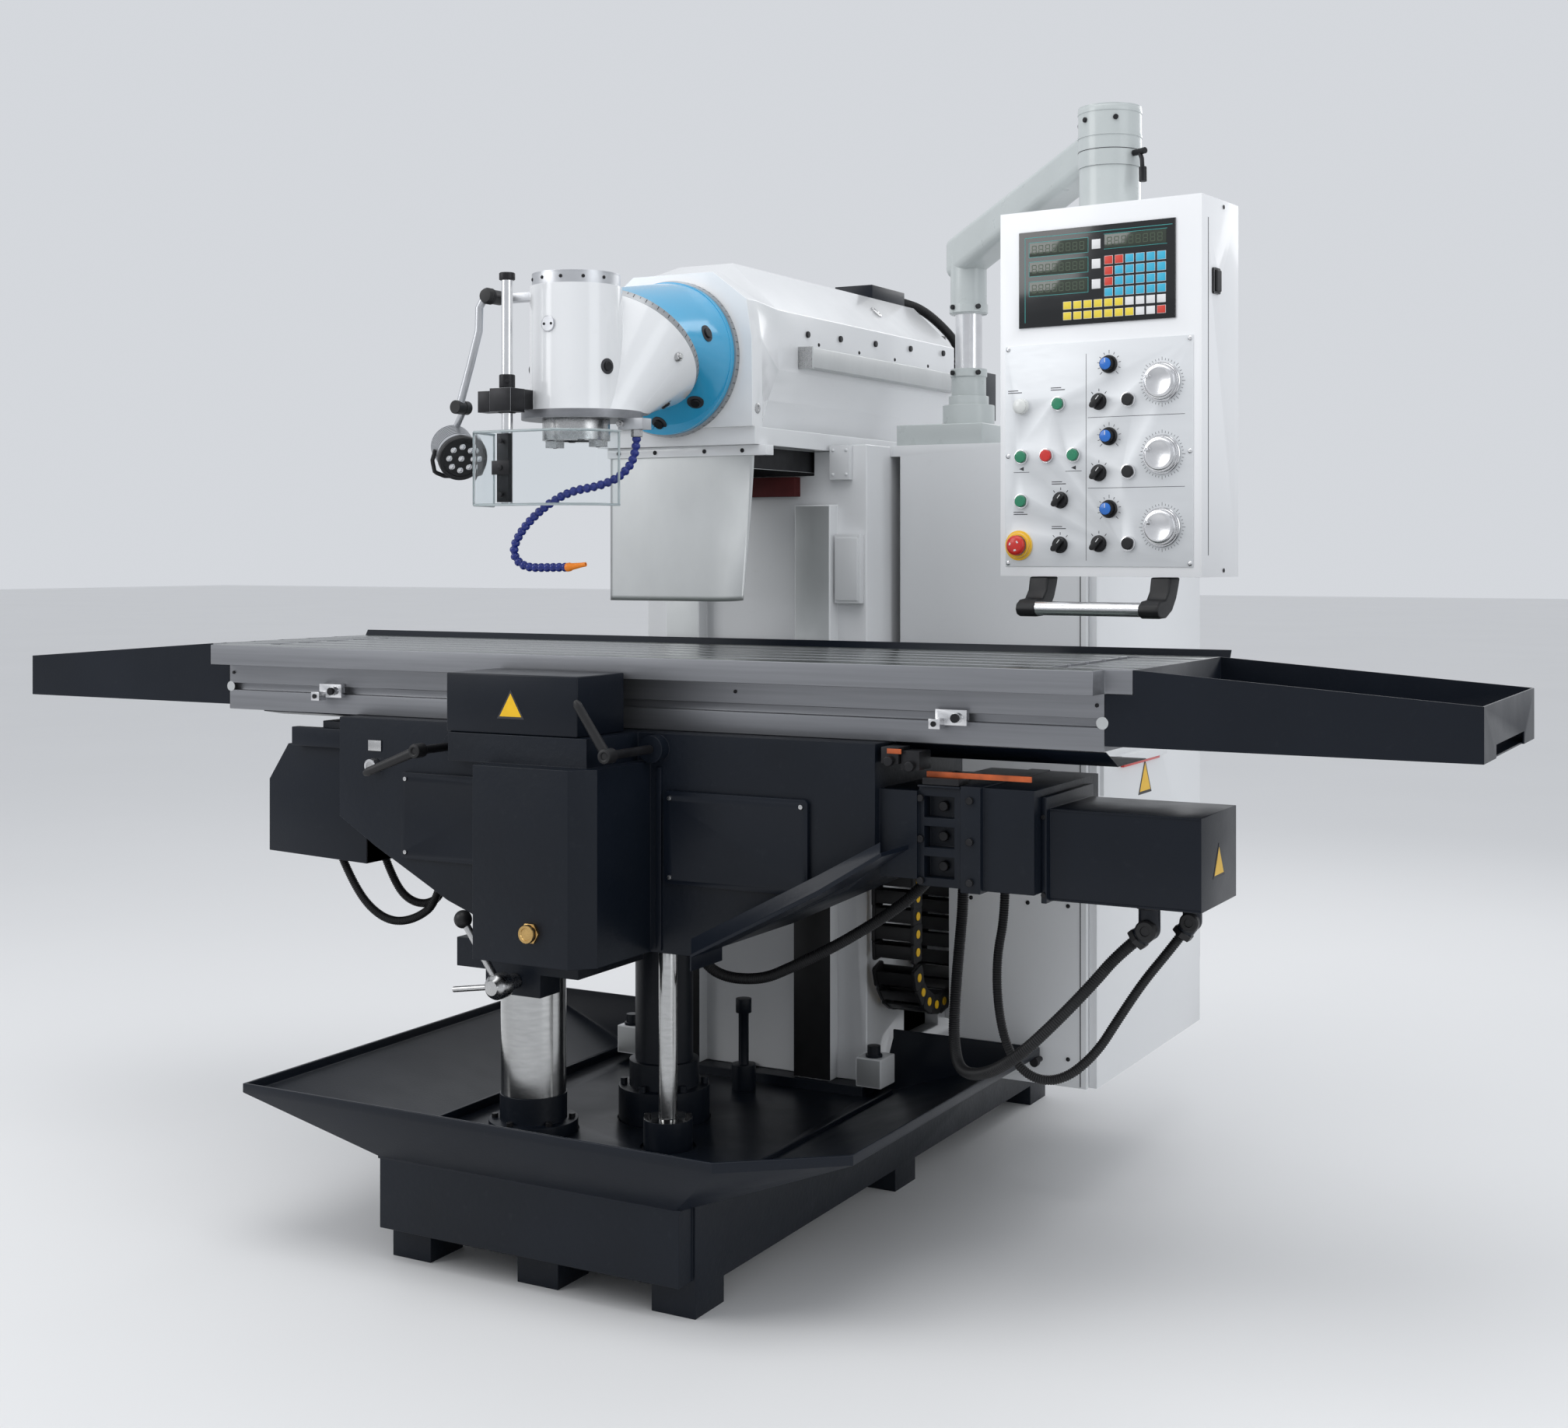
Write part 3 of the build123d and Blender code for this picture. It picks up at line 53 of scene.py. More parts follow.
# --- camera
cam_data = bpy.data.cameras.new("camera")
cam = bpy.data.objects.new("camera", cam_data)
bpy.context.scene.collection.objects.link(cam)
cam.location = (2.19548, -3.43333, 1.35690)
cam.rotation_euler = (radians(90), 0, radians(28.85))
cam_data.sensor_fit = "HORIZONTAL"
cam_data.sensor_width = 36
cam_data.lens = FOCAL_LENGTH / PHOTO_WIDTH * cam_data.sensor_width
cam_data.shift_y = (HORIZON - PHOTO_HEIGHT / 2) / PHOTO_WIDTH
cam_data.clip_end = 100
bpy.context.scene.camera = cam


# --- materials
def add_node(nt, kind, source, into="Vector", **values):
    """A shader node fed by source, with the named sockets set."""
    n = nt.nodes.new("ShaderNode" + kind)
    nt.links.new(source, n.inputs[into])
    for socket, value in values.items():
        n.inputs[socket.replace("_", " ")].default_value = value
    return n


def add_ramp(nt, noise, low, high, low_colour, high_colour):
    r = add_node(nt, "ValToRGB", noise.outputs["Fac"], "Fac")
    ends = r.color_ramp.elements
    ends[0].position, ends[1].position = low, high
    ends[0].color, ends[1].color = (*low_colour, 1), (*high_colour, 1)
    return r.outputs["Color"]


BUMP_DEPTH = 0.0004


def material(name, base, rough=0.4, metal=0.0, coat=0.0, vary=(0.08, 3.0), stretch=(1, 1, 1), bump=None,
        rough_vary=0.08,
             spec=0.5, transmission=0.0, alpha=1.0, speck=0.0, speck_col=(0.5, 0.5,
                 0.5), coat_rough=0.08, ior=1.45):
    """vary is (amount, scale) of the colour's noise; bump is (strength, scale), or with a depth as well."""
    m = bpy.data.materials.new(name)
    m.use_nodes = True
    nt = m.node_tree
    b = nt.nodes["Principled BSDF"]
    for socket, value in (("Metallic", metal), ("Coat Weight", coat), ("Coat Roughness", coat_rough),
            ("IOR", ior),
                          ("Specular IOR Level", spec), ("Transmission Weight", transmission), ("Alpha",
                              alpha)):
        b.inputs[socket].default_value = value
    place = nt.nodes.new("ShaderNodeTexCoord").outputs["Object"]
    mapped = add_node(nt, "Mapping", place, Scale=stretch).outputs["Vector"]
    amount, scale = vary
    noise = add_node(nt, "TexNoise", mapped, Scale=scale, Detail=6)
    colour = add_ramp(nt, noise, 0.3, 0.7, [c * (1 - amount) for c in base],
        [min(1, c * (1 + amount)) for c in base])
    if speck:
        noise = add_node(nt, "TexNoise", place, Scale=55, Detail=9)
        mix = nt.nodes.new("ShaderNodeMix")
        mix.data_type = "RGBA"
        mix.inputs["B"].default_value = (*speck_col, 1)
        nt.links.new(add_ramp(nt, noise, 0.62, 0.80, (0, 0, 0), (speck, speck, speck)),
            mix.inputs["Factor"])
        nt.links.new(colour, mix.inputs["A"])
        colour = mix.outputs["Result"]
    nt.links.new(colour, b.inputs["Base Color"])
    noise = add_node(nt, "TexNoise", mapped, Scale=scale * 5, Detail=5)
    spread = add_node(nt, "MapRange", noise.outputs["Fac"], "Value", To_Min=max(0.02, rough - rough_vary),
                      To_Max=min(1, rough + rough_vary))
    nt.links.new(spread.outputs["Result"], b.inputs["Roughness"])
    if bump:
        strength, scale, depth = (*bump, BUMP_DEPTH)[:3]
        noise = add_node(nt, "TexNoise", mapped, Scale=scale, Detail=3)
        dents = add_node(nt, "Bump", noise.outputs["Fac"], "Height", Strength=strength, Distance=depth)
        nt.links.new(dents.outputs["Normal"], b.inputs["Normal"])
    return m


WHITE = material("white_enamel", (0.77, 0.78, 0.79), rough=0.2, coat=0.5, vary=(0.015, 2),
    bump=(0.10, 70, 0.0010), speck=0.10, speck_col=(0.55, 0.55, 0.52))
CABWHITE = material("cabinet_enamel", (0.76, 0.77, 0.78), rough=0.35, coat=0.15, vary=(0.02, 1.2),
    bump=(0.12, 420, 0.0003), speck=0.06)
BOXWHITE = material("pendant_enamel", (0.86, 0.865, 0.875), rough=0.33, coat=0.2, vary=(0.015, 3),
    bump=(0.10, 500, 0.0003), speck=0.04)
DARK = material("anthracite_enamel", (0.0052, 0.0078, 0.0135), rough=0.34, coat=0.04, vary=(0.16, 2.5),
    bump=(0.22, 230, 0.0006), spec=0.26, speck=0.035, speck_col=(0.10, 0.11, 0.12), coat_rough=0.2)
CASTDARK = material("anthracite_cast", (0.0052, 0.0078, 0.0132), rough=0.40, coat=0.04, vary=(0.2, 3.5),
    bump=(0.35, 95, 0.0012), spec=0.26, speck=0.05, speck_col=(0.09, 0.10, 0.11), coat_rough=0.25)
BLUE = material("cyan_enamel", (0.035, 0.36, 0.62), rough=0.22, coat=0.5, vary=(0.05, 3),
    bump=(0.12, 80, 0.0010), speck=0.05, speck_col=(0.02, 0.2, 0.36))
GREY = material("arm_enamel", (0.50, 0.535, 0.53), rough=0.3, coat=0.25, vary=(0.05, 5),
    bump=(0.2, 90, 0.0010), speck=0.10, speck_col=(0.3, 0.32, 0.3))
STEEL = material("ground_steel", (0.24, 0.245, 0.26), rough=0.42, metal=0.7, vary=(0.07, 9),
    stretch=(0.35, 6, 14), bump=(0.10, 60, 0.0001), rough_vary=0.10, speck=0.08, speck_col=(0.2, 0.2, 0.19))
TABLETOP = material("table_top_steel", (0.07, 0.085, 0.08), rough=0.24, metal=0.85, vary=(0.12, 10),
    stretch=(0.3, 8, 8), bump=(0.08, 70, 0.0001), rough_vary=0.1, speck=0.10, speck_col=(0.07, 0.09, 0.07))
POLISHED = material("polished_steel", (0.55, 0.55, 0.54), rough=0.17, metal=1.0, vary=(0.08, 10),
    stretch=(3, 3, 14), bump=(0.05, 60, 0.0001), rough_vary=0.05)
BRIGHT = material("bright_steel", (0.50, 0.50, 0.50), rough=0.27, metal=1.0, vary=(0.06, 30),
    bump=(0.02, 300, 0.0001), rough_vary=0.08)
SHEETMET = material("sheet_steel", (0.56, 0.575, 0.575), rough=0.40, metal=0.75, vary=(0.05, 9),
    stretch=(1, 1, 0.6), bump=(0.08, 14, 0.002), rough_vary=0.10)
ALU = material("cast_aluminium", (0.55, 0.56, 0.58), rough=0.38, metal=0.9, vary=(0.05, 20),
    bump=(0.2, 600, 0.0002))
CHROME = material("satin_chrome", (0.72, 0.72, 0.73), rough=0.22, metal=1.0, vary=(0.04, 40),
    rough_vary=0.06)
BLACK = material("black_plastic", (0.012, 0.012, 0.013), rough=0.42, vary=(0.2, 30),
    bump=(0.3, 900, 0.0002), spec=0.4)
BLACKST = material("black_oxide", (0.02, 0.02, 0.022), rough=0.38, metal=0.5, vary=(0.25, 40),
    bump=(0.2, 500, 0.0002), spec=0.4)
RUBBER = material("black_rubber", (0.010, 0.010, 0.011), rough=0.5, vary=(0.3, 25),
    bump=(0.15, 600, 0.0003), spec=0.4)
GREEN = material("green_cap", (0.015, 0.22, 0.11), rough=0.25, coat=0.3, vary=(0.06, 60), bump=(0.05, 400))
RED = material("red_cap", (0.62, 0.02, 0.014), rough=0.3, coat=0.3, vary=(0.06, 60), bump=(0.05, 400))
YELLOW = material("yellow_plastic", (0.85, 0.50, 0.01), rough=0.35, vary=(0.05, 40), bump=(0.08, 500))
CREAM = material("lens_plastic", (0.72, 0.73, 0.71), rough=0.22, coat=0.5, vary=(0.05, 60))
KEYBLUE = material("key_cyan", (0.04, 0.42, 0.62), rough=0.4, vary=(0.04, 80))
KEYRED = material("key_red", (0.62, 0.05, 0.03), rough=0.4, vary=(0.04, 80))
KEYYEL = material("key_yellow", (0.80, 0.62, 0.05), rough=0.4, vary=(0.04, 80))
KEYWHT = material("key_white", (0.75, 0.75, 0.75), rough=0.4, vary=(0.04, 80))
FILM = material("display_film", (0.006, 0.007, 0.008), rough=0.12, vary=(0.1, 3), coat=0.3)
OLIVE = material("display_glass", (0.020, 0.030, 0.018), rough=0.12, vary=(0.15, 20), coat=0.6)
SEGMENT = material("display_segment", (0.055, 0.085, 0.05), rough=0.3, vary=(0.1, 80))
TEAL = material("display_line", (0.05, 0.38, 0.36), rough=0.4, vary=(0.05, 3))
PLATE = material("plate_aluminium", (0.70, 0.715, 0.73), rough=0.42, metal=0.25, vary=(0.03, 6),
    stretch=(1, 1, 5), bump=(0.06, 400, 0.0001))
INK = material("panel_ink", (0.03, 0.03, 0.035), rough=0.5, vary=(0.1, 3))
KNOBBLUE = material("knob_blue", (0.02, 0.16, 0.58), rough=0.3, coat=0.3, vary=(0.05, 60))
LOCBLUE = material("hose_blue", (0.006, 0.018, 0.18), rough=0.30, coat=0.2, vary=(0.12, 60),
    bump=(0.1, 400))
ORANGE = material("nozzle_orange", (0.80, 0.22, 0.012), rough=0.35, vary=(0.06, 60))
BRASS = material("brass", (0.55, 0.36, 0.14), rough=0.28, metal=1.0, vary=(0.15, 60), bump=(0.1, 400))
BELLOWS = material("bellows_fabric", (0.10, 0.012, 0.012), rough=0.6, vary=(0.2, 30), bump=(0.3, 900))
OILRED = material("rust_paint", (0.45, 0.09, 0.02), rough=0.5, vary=(0.3, 30), bump=(0.3, 300))
CLEAR = material("polycarbonate", (0.93, 0.96, 0.97), rough=0.05, vary=(0.01, 3), transmission=1.0,
    rough_vary=0.02, ior=1.12, spec=0.3)
EDGE = material("polycarbonate_edge", (0.55, 0.62, 0.63), rough=0.2, vary=(0.02, 3), transmission=0.4,
    alpha=0.8)
DIALRING = material("degree_ring", (0.36, 0.37, 0.38), rough=0.4, metal=0.7, vary=(0.06, 30),
    bump=(0.1, 300))


# --- mesh helpers
def bevel(bm, width, segments=2, angle=28):
    if width <= 0:
        return
    edges = [e for e in bm.edges if len(e.link_faces) == 2 and e.calc_face_angle(0) > radians(angle)]
    if edges:
        bmesh.ops.bevel(bm, geom=edges, offset=width, segments=segments, profile=0.6, affect="EDGES",
            clamp_overlap=True)


def piece(name, bm, mats, body, replaces=(), width=0.0, segments=2, angle=28, smooth=32):
    """An object riding on body, its edges rounded by width in metres and shaded smooth up to an angle."""
    bevel(bm, width, segments, angle)
    bm.normal_update()
    me = bpy.data.meshes.new(name)
    bm.to_mesh(me)
    bm.free()
    for p in me.polygons:
        p.use_smooth = True
    me.set_sharp_from_angle(angle=radians(smooth))
    o = bpy.data.objects.new(name, me)
    bpy.context.scene.collection.objects.link(o)
    for m in mats if isinstance(mats, (list, tuple)) else [mats]:
        me.materials.append(m)
    if replaces:
        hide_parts(*replaces)
    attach(o, body)
    return o


def from_cad(node, mats, width=0.002, segments=2, angle=35, paint=None, smooth=32):
    """The CAD node with rounded edges; paint(face) gives a material number."""
    bm = bmesh.new()
    bm.from_mesh(NODES[node].data)
    bmesh.ops.remove_doubles(bm, verts=bm.verts, dist=1e-6)
    bmesh.ops.dissolve_limit(bm, angle_limit=radians(0.4), verts=bm.verts, edges=bm.edges)
    if paint:
        for f in bm.faces:
            f.material_index = paint(f)
    return piece(node + "_body", bm, mats, BODY[node], (node,), width, segments, angle, smooth)


def box(bm, lo, hi):
    c = (Vector(lo) + Vector(hi)) / 2 * MM
    s = (Vector(hi) - Vector(lo)) * MM
    bmesh.ops.create_cube(bm, size=1.0, matrix=Matrix.Translation(c) @ Matrix.Diagonal((*s, 1)))


def frame_of(direction):
    """Two cross directions and the direction itself, all of length 1."""
    d = Vector(direction).normalized()
    up = Vector(UP) if abs(d.z) < 0.9 else Vector(RIGHT)
    x = up.cross(d).normalized()
    return x, d.cross(x), d


def circle(x, y, seg):
    return [x * cos(2 * pi * k / seg) + y * sin(2 * pi * k / seg) for k in range(seg)]


def skin(bm, rings, mat=0):
    """Faces between neighbouring rings of points; a ring of one point is a tip."""
    for a, b in zip(rings, rings[1:]):
        seg = max(len(a), len(b))
        for k in range(seg if seg > 1 else 0):
            n = (k + 1) % seg
            if len(a) == 1:
                corners = (a[0], b[n], b[k])
            elif len(b) == 1:
                corners = (a[k], a[n], b[0])
            else:
                corners = (a[k], a[n], b[n], b[k])
            bm.faces.new(corners).material_index = mat


def revolve(bm, origin, direction, profile, seg=32, mat=0):
    """profile: (distance along the axis, radius) in mm; an end with a radius gets a flat cap."""
    x, y, d = frame_of(direction)
    o = Vector(origin)
    rings = []
    for s, r in profile:
        spokes = circle(x, y, seg) if r > 1e-6 else [Vector()]
        rings.append([bm.verts.new((o + d * s + u * r) * MM) for u in spokes])
    skin(bm, rings, mat)
    for cap in (rings[0][::-1], rings[-1]):
        if len(cap) > 1:
            bm.faces.new(cap).material_index = mat


def cyl(bm, a, b, r, seg=28, mat=0):
    """A round bar from a to b with a small chamfer at both ends."""
    a, b = Vector(a), Vector(b)
    n = (b - a).length
    c = min(r * 0.12, n * 0.2, 1.5)
    revolve(bm, a, b - a, [(0, r - c), (c, r), (n - c, r), (n, r - c)], seg, mat)


def hexbolt(bm, at, direction, r, h, mat=0, socket=True):
    """A cap screw: round head with a hexagon recess, or a plain hexagon head."""
    if socket:
        revolve(bm, at, direction, [(0, r), (h - 0.12 * r, r), (h, r * 0.88), (h, r * 0.55)], 24, mat)
        revolve(bm, at, direction, [(h + 0.02, r * 0.56), (h * 0.45, r * 0.5), (h * 0.45, 0)], 6, mat)
    else:
        revolve(bm, at, direction, [(0, r * 1.3), (h * 0.25, r * 1.3), (h * 0.25, r * 1.05)], 24, mat)
        revolve(bm, at, direction, [(h * 0.25, r), (h * 0.9, r), (h, r * 0.85), (h, 0)], 6, mat)


def panscrew(bm, at, direction, r):
    profile = ((0, 1), (0.25, 1), (0.5, 0.75), (0.6, 0.35), (0.45, 0.3), (0.45, 0))
    revolve(bm, at, direction, [(r * s, r * q) for s, q in profile], 16)


def prism(bm, pts, normal, depth, mat=0):
    """pts in mm, a planar outline; extruded along normal by depth."""
    n = Vector(normal).normalized() * depth
    a = [bm.verts.new(Vector(p) * MM) for p in pts]
    b = [bm.verts.new((Vector(p) + n) * MM) for p in pts]
    fs = [bm.faces.new(a[::-1]), bm.faces.new(b)]
    k = len(pts)
    for i in range(k):
        fs.append(bm.faces.new((a[i], a[(i + 1) % k], b[(i + 1) % k], b[i])))
    for f in fs:
        f.material_index = mat
    bmesh.ops.recalc_face_normals(bm, faces=fs)


def tube_mesh(bm, pts, radius, seg=12):
    """A tube along points in metres; radius is a number or a function of the distance. Gives its length."""
    pts = [Vector(p) for p in pts]
    up = None
    rings = []
    dist = 0.0
    for i, p in enumerate(pts):
        t = (pts[min(i + 1, len(pts) - 1)] - pts[max(i - 1, 0)]).normalized()
        if up is None:
            up = t.orthogonal().normalized()
        up = (up - t * up.dot(t)).normalized()
        side = t.cross(up)
        if i:
            dist += (p - pts[i - 1]).length
        r = radius(dist) if callable(radius) else radius
        rings.append([bm.verts.new(p + u * r) for u in circle(up, side, seg)])
    skin(bm, rings)
    bm.faces.new(rings[0][::-1])
    bm.faces.new(rings[-1])
    return dist


def spline_points(name, pts_mm):
    """The smooth line of a route, as points read from its NURBS curve."""
    cu = bpy.data.curves.new(name, "CURVE")
    cu.dimensions = "3D"
    sp = cu.splines.new("NURBS")
    sp.points.add(len(pts_mm) - 1)
    for q, p in zip(sp.points, pts_mm):
        q.co = (p[0] * MM, p[1] * MM, p[2] * MM, 1)
    sp.order_u = 3
    sp.use_endpoint_u = True
    sp.resolution_u = 24
    ob = bpy.data.objects.new(name, cu)
    bpy.context.scene.collection.objects.link(ob)
    bpy.context.view_layer.update()
    me = bpy.data.meshes.new_from_object(ob.evaluated_get(bpy.context.evaluated_depsgraph_get()))
    out = [v.co.copy() for v in me.vertices]
    bpy.data.meshes.remove(me)
    bpy.data.objects.remove(ob)
    bpy.data.curves.remove(cu)
    return out


def resample(pts, step):
    """The same line as points a step apart."""
    out = [pts[0].copy()]
    carry = 0.0
    for a, b in zip(pts, pts[1:]):
        n = (b - a).length
        if n == 0:
            continue
        s = step - carry
        while s <= n:
            out.append(a.lerp(b, s / n))
            s += step
        carry = n - (s - step)
    if (out[-1] - pts[-1]).length > step * 0.3:
        out.append(pts[-1].copy())
    return out


# --- cords
DRIVE_ELBOW, DRIVE_DIR = Vector((1064, -60, 702)), Vector((-0.75, 0, -0.66)).normalized()
MOTOR_ELBOW, MOTOR_DIR = Vector((1122, 0, 712)), Vector((-0.6, 0, -0.8)).normalized()
D0, M0 = DRIVE_ELBOW + DRIVE_DIR * 34, MOTOR_ELBOW + MOTOR_DIR * 34


def under_wing(x):
    """The height of the underside of the knee's sloping left cover."""
    return 709 + (-427 - x - 9) * 50 / 97 - 0.5


ROUTES = {
    "drive_conduit": ("right_conduits", 22, [
        tuple(D0), tuple(D0 + DRIVE_DIR * 48), (973, -96, 604), (916, -126, 537), (847, -136, 468),
        (772, -102, 421), (692, -32, 400), (654, 24, 440), (646, 50, 520), (650, 62, 620), (658, 62, 700),
        (658, 62, 782)]),
    "motor_conduit": ("right_conduits", 18, [
        tuple(M0), tuple(M0 + MOTOR_DIR * 44), (1038, -14, 600), (1000, -34, 536), (962, -48, 470),
        (905, -58, 418), (845, -62, 413), (798, -58, 455), (774, -48, 530), (768, -40, 620),
        (784, -38, 700), (784, -38, 764)]),
    "front_conduit": ("front_conduit", 22, [
        (110, -30, 599.3), (135, -35, 556), (187, -41, 526), (277, -42, 530), (342, -42, 560),
        (438, -40, 610), (531, -38, 668), (608, -38, 724), (652, -38, 774.4)]),
    "left_outer": ("left_conduits", 18, [
        (-715, -112, 701.2), (-687, -112, 653), (-640, -112, 602), (-580, -112, 577), (-515, -110, 590),
        (-462, -106, 630), (-446, -102, under_wing(-446))]),
    "left_inner": ("left_conduits", 18, [
        (-640, -60, 699), (-615, -60, 649), (-575, -62, 616), (-525, -62, 611), (-482, -60, 640),
        (-470, -56, under_wing(-470))]),
    "ram_hose": ("ram_hose", 24, [
        (30, 1060, 1983), (30, 1115, 1983), (56, 1168, 1972), (92, 1214, 1932), (125, 1250, 1880),
        (125, 1250, 1815)]),
}
CORD_PITCH, CORD_WAVE, CORD_STEP = 0.0044, 0.0007, 0.0011
for name, (node, dia, pts) in ROUTES.items():
    fine = resample(spline_points(name + "_line", pts), CORD_STEP)
    bm = bmesh.new()
    r = dia / 2 * MM
    length = tube_mesh(bm, fine, lambda s: r - CORD_WAVE + CORD_WAVE * cos(2 * pi * s / CORD_PITCH), 14)
    o = piece(name, bm, RUBBER, BODY[node], (node,), smooth=60)

# --- base, tray, column, cabinet
from_cad("base_casting", CASTDARK, 0.006, 3)
from_cad("chip_tray", DARK, 0.0022, 2)
from_cad("arm_pedestal", GREY, 0.003, 2)

bm = bmesh.new()
# folded rim along the chip tray's edge, and rails on its floor
rim = [(-628, -496.2, 316), (439, -496.2, 316), (626, -343, 316), (626, 518, 316)]
for a, b in zip(rim, rim[1:]):
    cyl(bm, a, b, 3.4, 10)
box(bm, (-352, -430, 209), (-345, 440, 232))
box(bm, (340, -330, 209), (346, 400, 222))
prism(bm, [(x, -440.6, z) for x, z in ((-340, 200), (340, 200), (340, 206), (-340, 206))], BACK, 0.6)
piece("tray_rims", bm, DARK, "frame", width=0.0008)

bm = bmesh.new()
for cx, cy, r, z, n in ((-180, -158, 77, 231, 6), (118, -128, 40, 263, 4)):
    for k in range(n):
        t = 2 * pi * k / n + 0.5
        hexbolt(bm, (cx + r * cos(t), cy + r * sin(t), z), UP, 6.5, 8)
piece("flange_screws", bm, BLACKST, "frame")


def column_paint(f):
    c = f.calc_center_median()
    return 1 if c.y < 0.3815 and c.z < 1.4600 and abs(f.normal.y) > 0.9 else 0


from_cad("column", [WHITE, SHEETMET], 0.005, 3, paint=column_paint)
bm = bmesh.new()
# black guards on the lower halves of the ways; the upper halves are bare metal
for s in (-1, 1):
    x0, x1 = sorted((s * 119.4, s * 207.6))
    box(bm, (x0, 378.9, 229), (x1, 380.2, 700))
piece("way_guards", bm, BLACK, "frame", width=0.0004)
bm = bmesh.new()
for s in (-1, 1):
    x0, x1 = sorted((s * 196, s * 244))
    box(bm, (x0, 399, 1515), (x1, 413.4, 1589))
    for z in (1526, 1578):
        for x in (236, 204):
            panscrew(bm, (s * x, 398.9, z), FRONT, 3.6)
piece("ram_wipers", bm, CABWHITE, "frame", width=0.0012)
bm = bmesh.new()
box(bm, (212, 391, 1250), (272, 413.2, 1398))
box(bm, (216, 388, 1256), (268, 391.5, 1390))
piece("column_scale_housing", bm, CABWHITE, "frame", width=0.003)
bm = bmesh.new()
# bellows behind the wiper, under the ram
for k in range(9):
    y = 386 + k * 3.0
    box(bm, (-118, y, 1480), (118, y + 1.5, 1522))
piece("ram_bellows", bm, BELLOWS, "frame", width=0.0006)
bm = bmesh.new()
for x in (-150, 0, 150):
    hexbolt(bm, (x, 402, 228.5), UP, 9, 10, socket=False)
piece("plinth_bolts", bm, BLACKST, "frame")

from_cad("cabinet", CABWHITE, 0.003, 2)
from_cad("cabinet_door", CABWHITE, 0.0028, 2)
bm = bmesh.new()
# a joint line and screws on the cabinet's front
box(bm, (716, 528.4, 245), (718, 529.6, 1589))
for x in (470, 600, 690):
    for z in (300, 620):
        panscrew(bm, (x, 528.9, z), FRONT, 4.5)
piece("cabinet_trim", bm, BLACKST, "frame", width=0.0003)
bm = bmesh.new()
cyl(bm, (628, 529, 294), (628, 505, 294), 6)
cyl(bm, (628, 505, 294), (628, 492, 294), 10)
piece("cabinet_knob_screw", bm, BLACKST, "frame")
bm = bmesh.new()
box(bm, (748.1, 690, 898), (756, 930, 924))
for y in (720, 900):
    cyl(bm, (755.8, y, 911), (757.4, y, 911), 5, 16)
piece("isolator_strip", bm, RED, "cabinet_door", width=0.0008)


def triangle(name, centre, across, size, body):
    """A plain yellow warning triangle with a dark edge, no symbol."""
    c, x, y = Vector(centre), Vector(across), Vector(UP)
    n = x.cross(y).normalized()
    for nm, s, d, m in ((name + "_edge", size, 0.5, INK), (name, size * 0.80, 0.8, YELLOW)):
        bm = bmesh.new()
        pts = [c + y * s * 0.62, c - y * s * 0.42 - x * s * 0.6, c - y * s * 0.42 + x * s * 0.6]
        prism(bm, [p - n * 0.1 for p in pts], n, d + 0.1)
        piece(nm, bm, m, body)


triangle("box_triangle", (-57, -400.1, 1070), RIGHT, 52, "knee")
triangle("cabinet_triangle", (748.1, 850, 857), BACK, 74, "cabinet_door")
triangle("drive_triangle", (1184.1, -50, 825), BACK, 56, "knee")

# --- lifting columns
def lifting_paint(f):
    c = f.calc_center_median()
    pillar = abs(c.x + 0.180) < 0.068 and abs(c.y + 0.158) < 0.068 and c.z > 0.28
    rod = abs(c.x - 0.118) < 0.02 and abs(c.y + 0.128) < 0.02 and c.z > 0.263
    return 1 if pillar or rod else 0


from_cad("lifting_columns", [CASTDARK, POLISHED], 0.002, 2, paint=lifting_paint)

# --- drag chain
bm = bmesh.new()
# two upright runs joined by a half circle at the bottom, as (y, z) of the links' pins
PITCH, FRONT_RUN, REAR_RUN, TURN_Z, TURN_STEPS = 38, 412, 640, 500, 9
middle, radius = (FRONT_RUN + REAR_RUN) / 2, (REAR_RUN - FRONT_RUN) / 2
line = [(FRONT_RUN, z) for z in range(744, 499, -PITCH)]
line += [(middle - radius * cos(pi * k / TURN_STEPS), TURN_Z - radius * sin(pi * k / TURN_STEPS))
    for k in range(1, TURN_STEPS)]
line += [(REAR_RUN, z) for z in range(500, 990, PITCH)]
LINK = ((-1, -0.8), (-0.8, -1), (0.8, -1), (1, -0.8), (1, 0.8), (0.8, 1), (-0.8, 1), (-1, 0.8))
pins = bmesh.new()
for k, (y, z) in enumerate(line):
    a, b = line[max(k - 1, 0)], line[min(k + 1, len(line) - 1)]
    t = Vector((0, b[0] - a[0], b[1] - a[1])).normalized()
    nrm = Vector((0, -t.z, t.y))
    c = Vector((0, y, z))
    # every second link is a little narrower and sits inside its neighbours
    width, inset = (21.5, 0.4) if k % 2 else (20.2, 1.2)
    for x, start in ((300, inset), (392, 0)):
        pts = [c + t * s * 22 + nrm * q * width for s, q in LINK]
        prism(bm, [Vector((x + start, p.y, p.z)) for p in pts], RIGHT, 8 - inset)
    for q in (-1, 1):
        pts = [c + t * s * 14 + nrm * (q * 17 + e) for s, e in ((-1, -2), (1, -2), (1, 2), (-1, 2))]
        prism(bm, [Vector((308, p.y, p.z)) for p in pts], RIGHT, 84)
    cyl(pins, (301, y, z), (299.0, y, z), 9, 20)
    cyl(pins, (399, y, z), (400.8, y, z), 9, 20)
box(bm, (398, 628, 952), (418, 652, 988))
piece("drag_chain_links", bm, BLACK, "frame", ("drag_chain",), width=0.0008)
piece("drag_chain_pins", pins, YELLOW, "frame")

# --- knee
from_cad("knee_casting", CASTDARK, 0.006, 3)
from_cad("electric_box", DARK, 0.0025, 2)
from_cad("motor_covers", DARK, 0.0035, 2)
from_cad("knee_guards", DARK, 0.0006, 1)


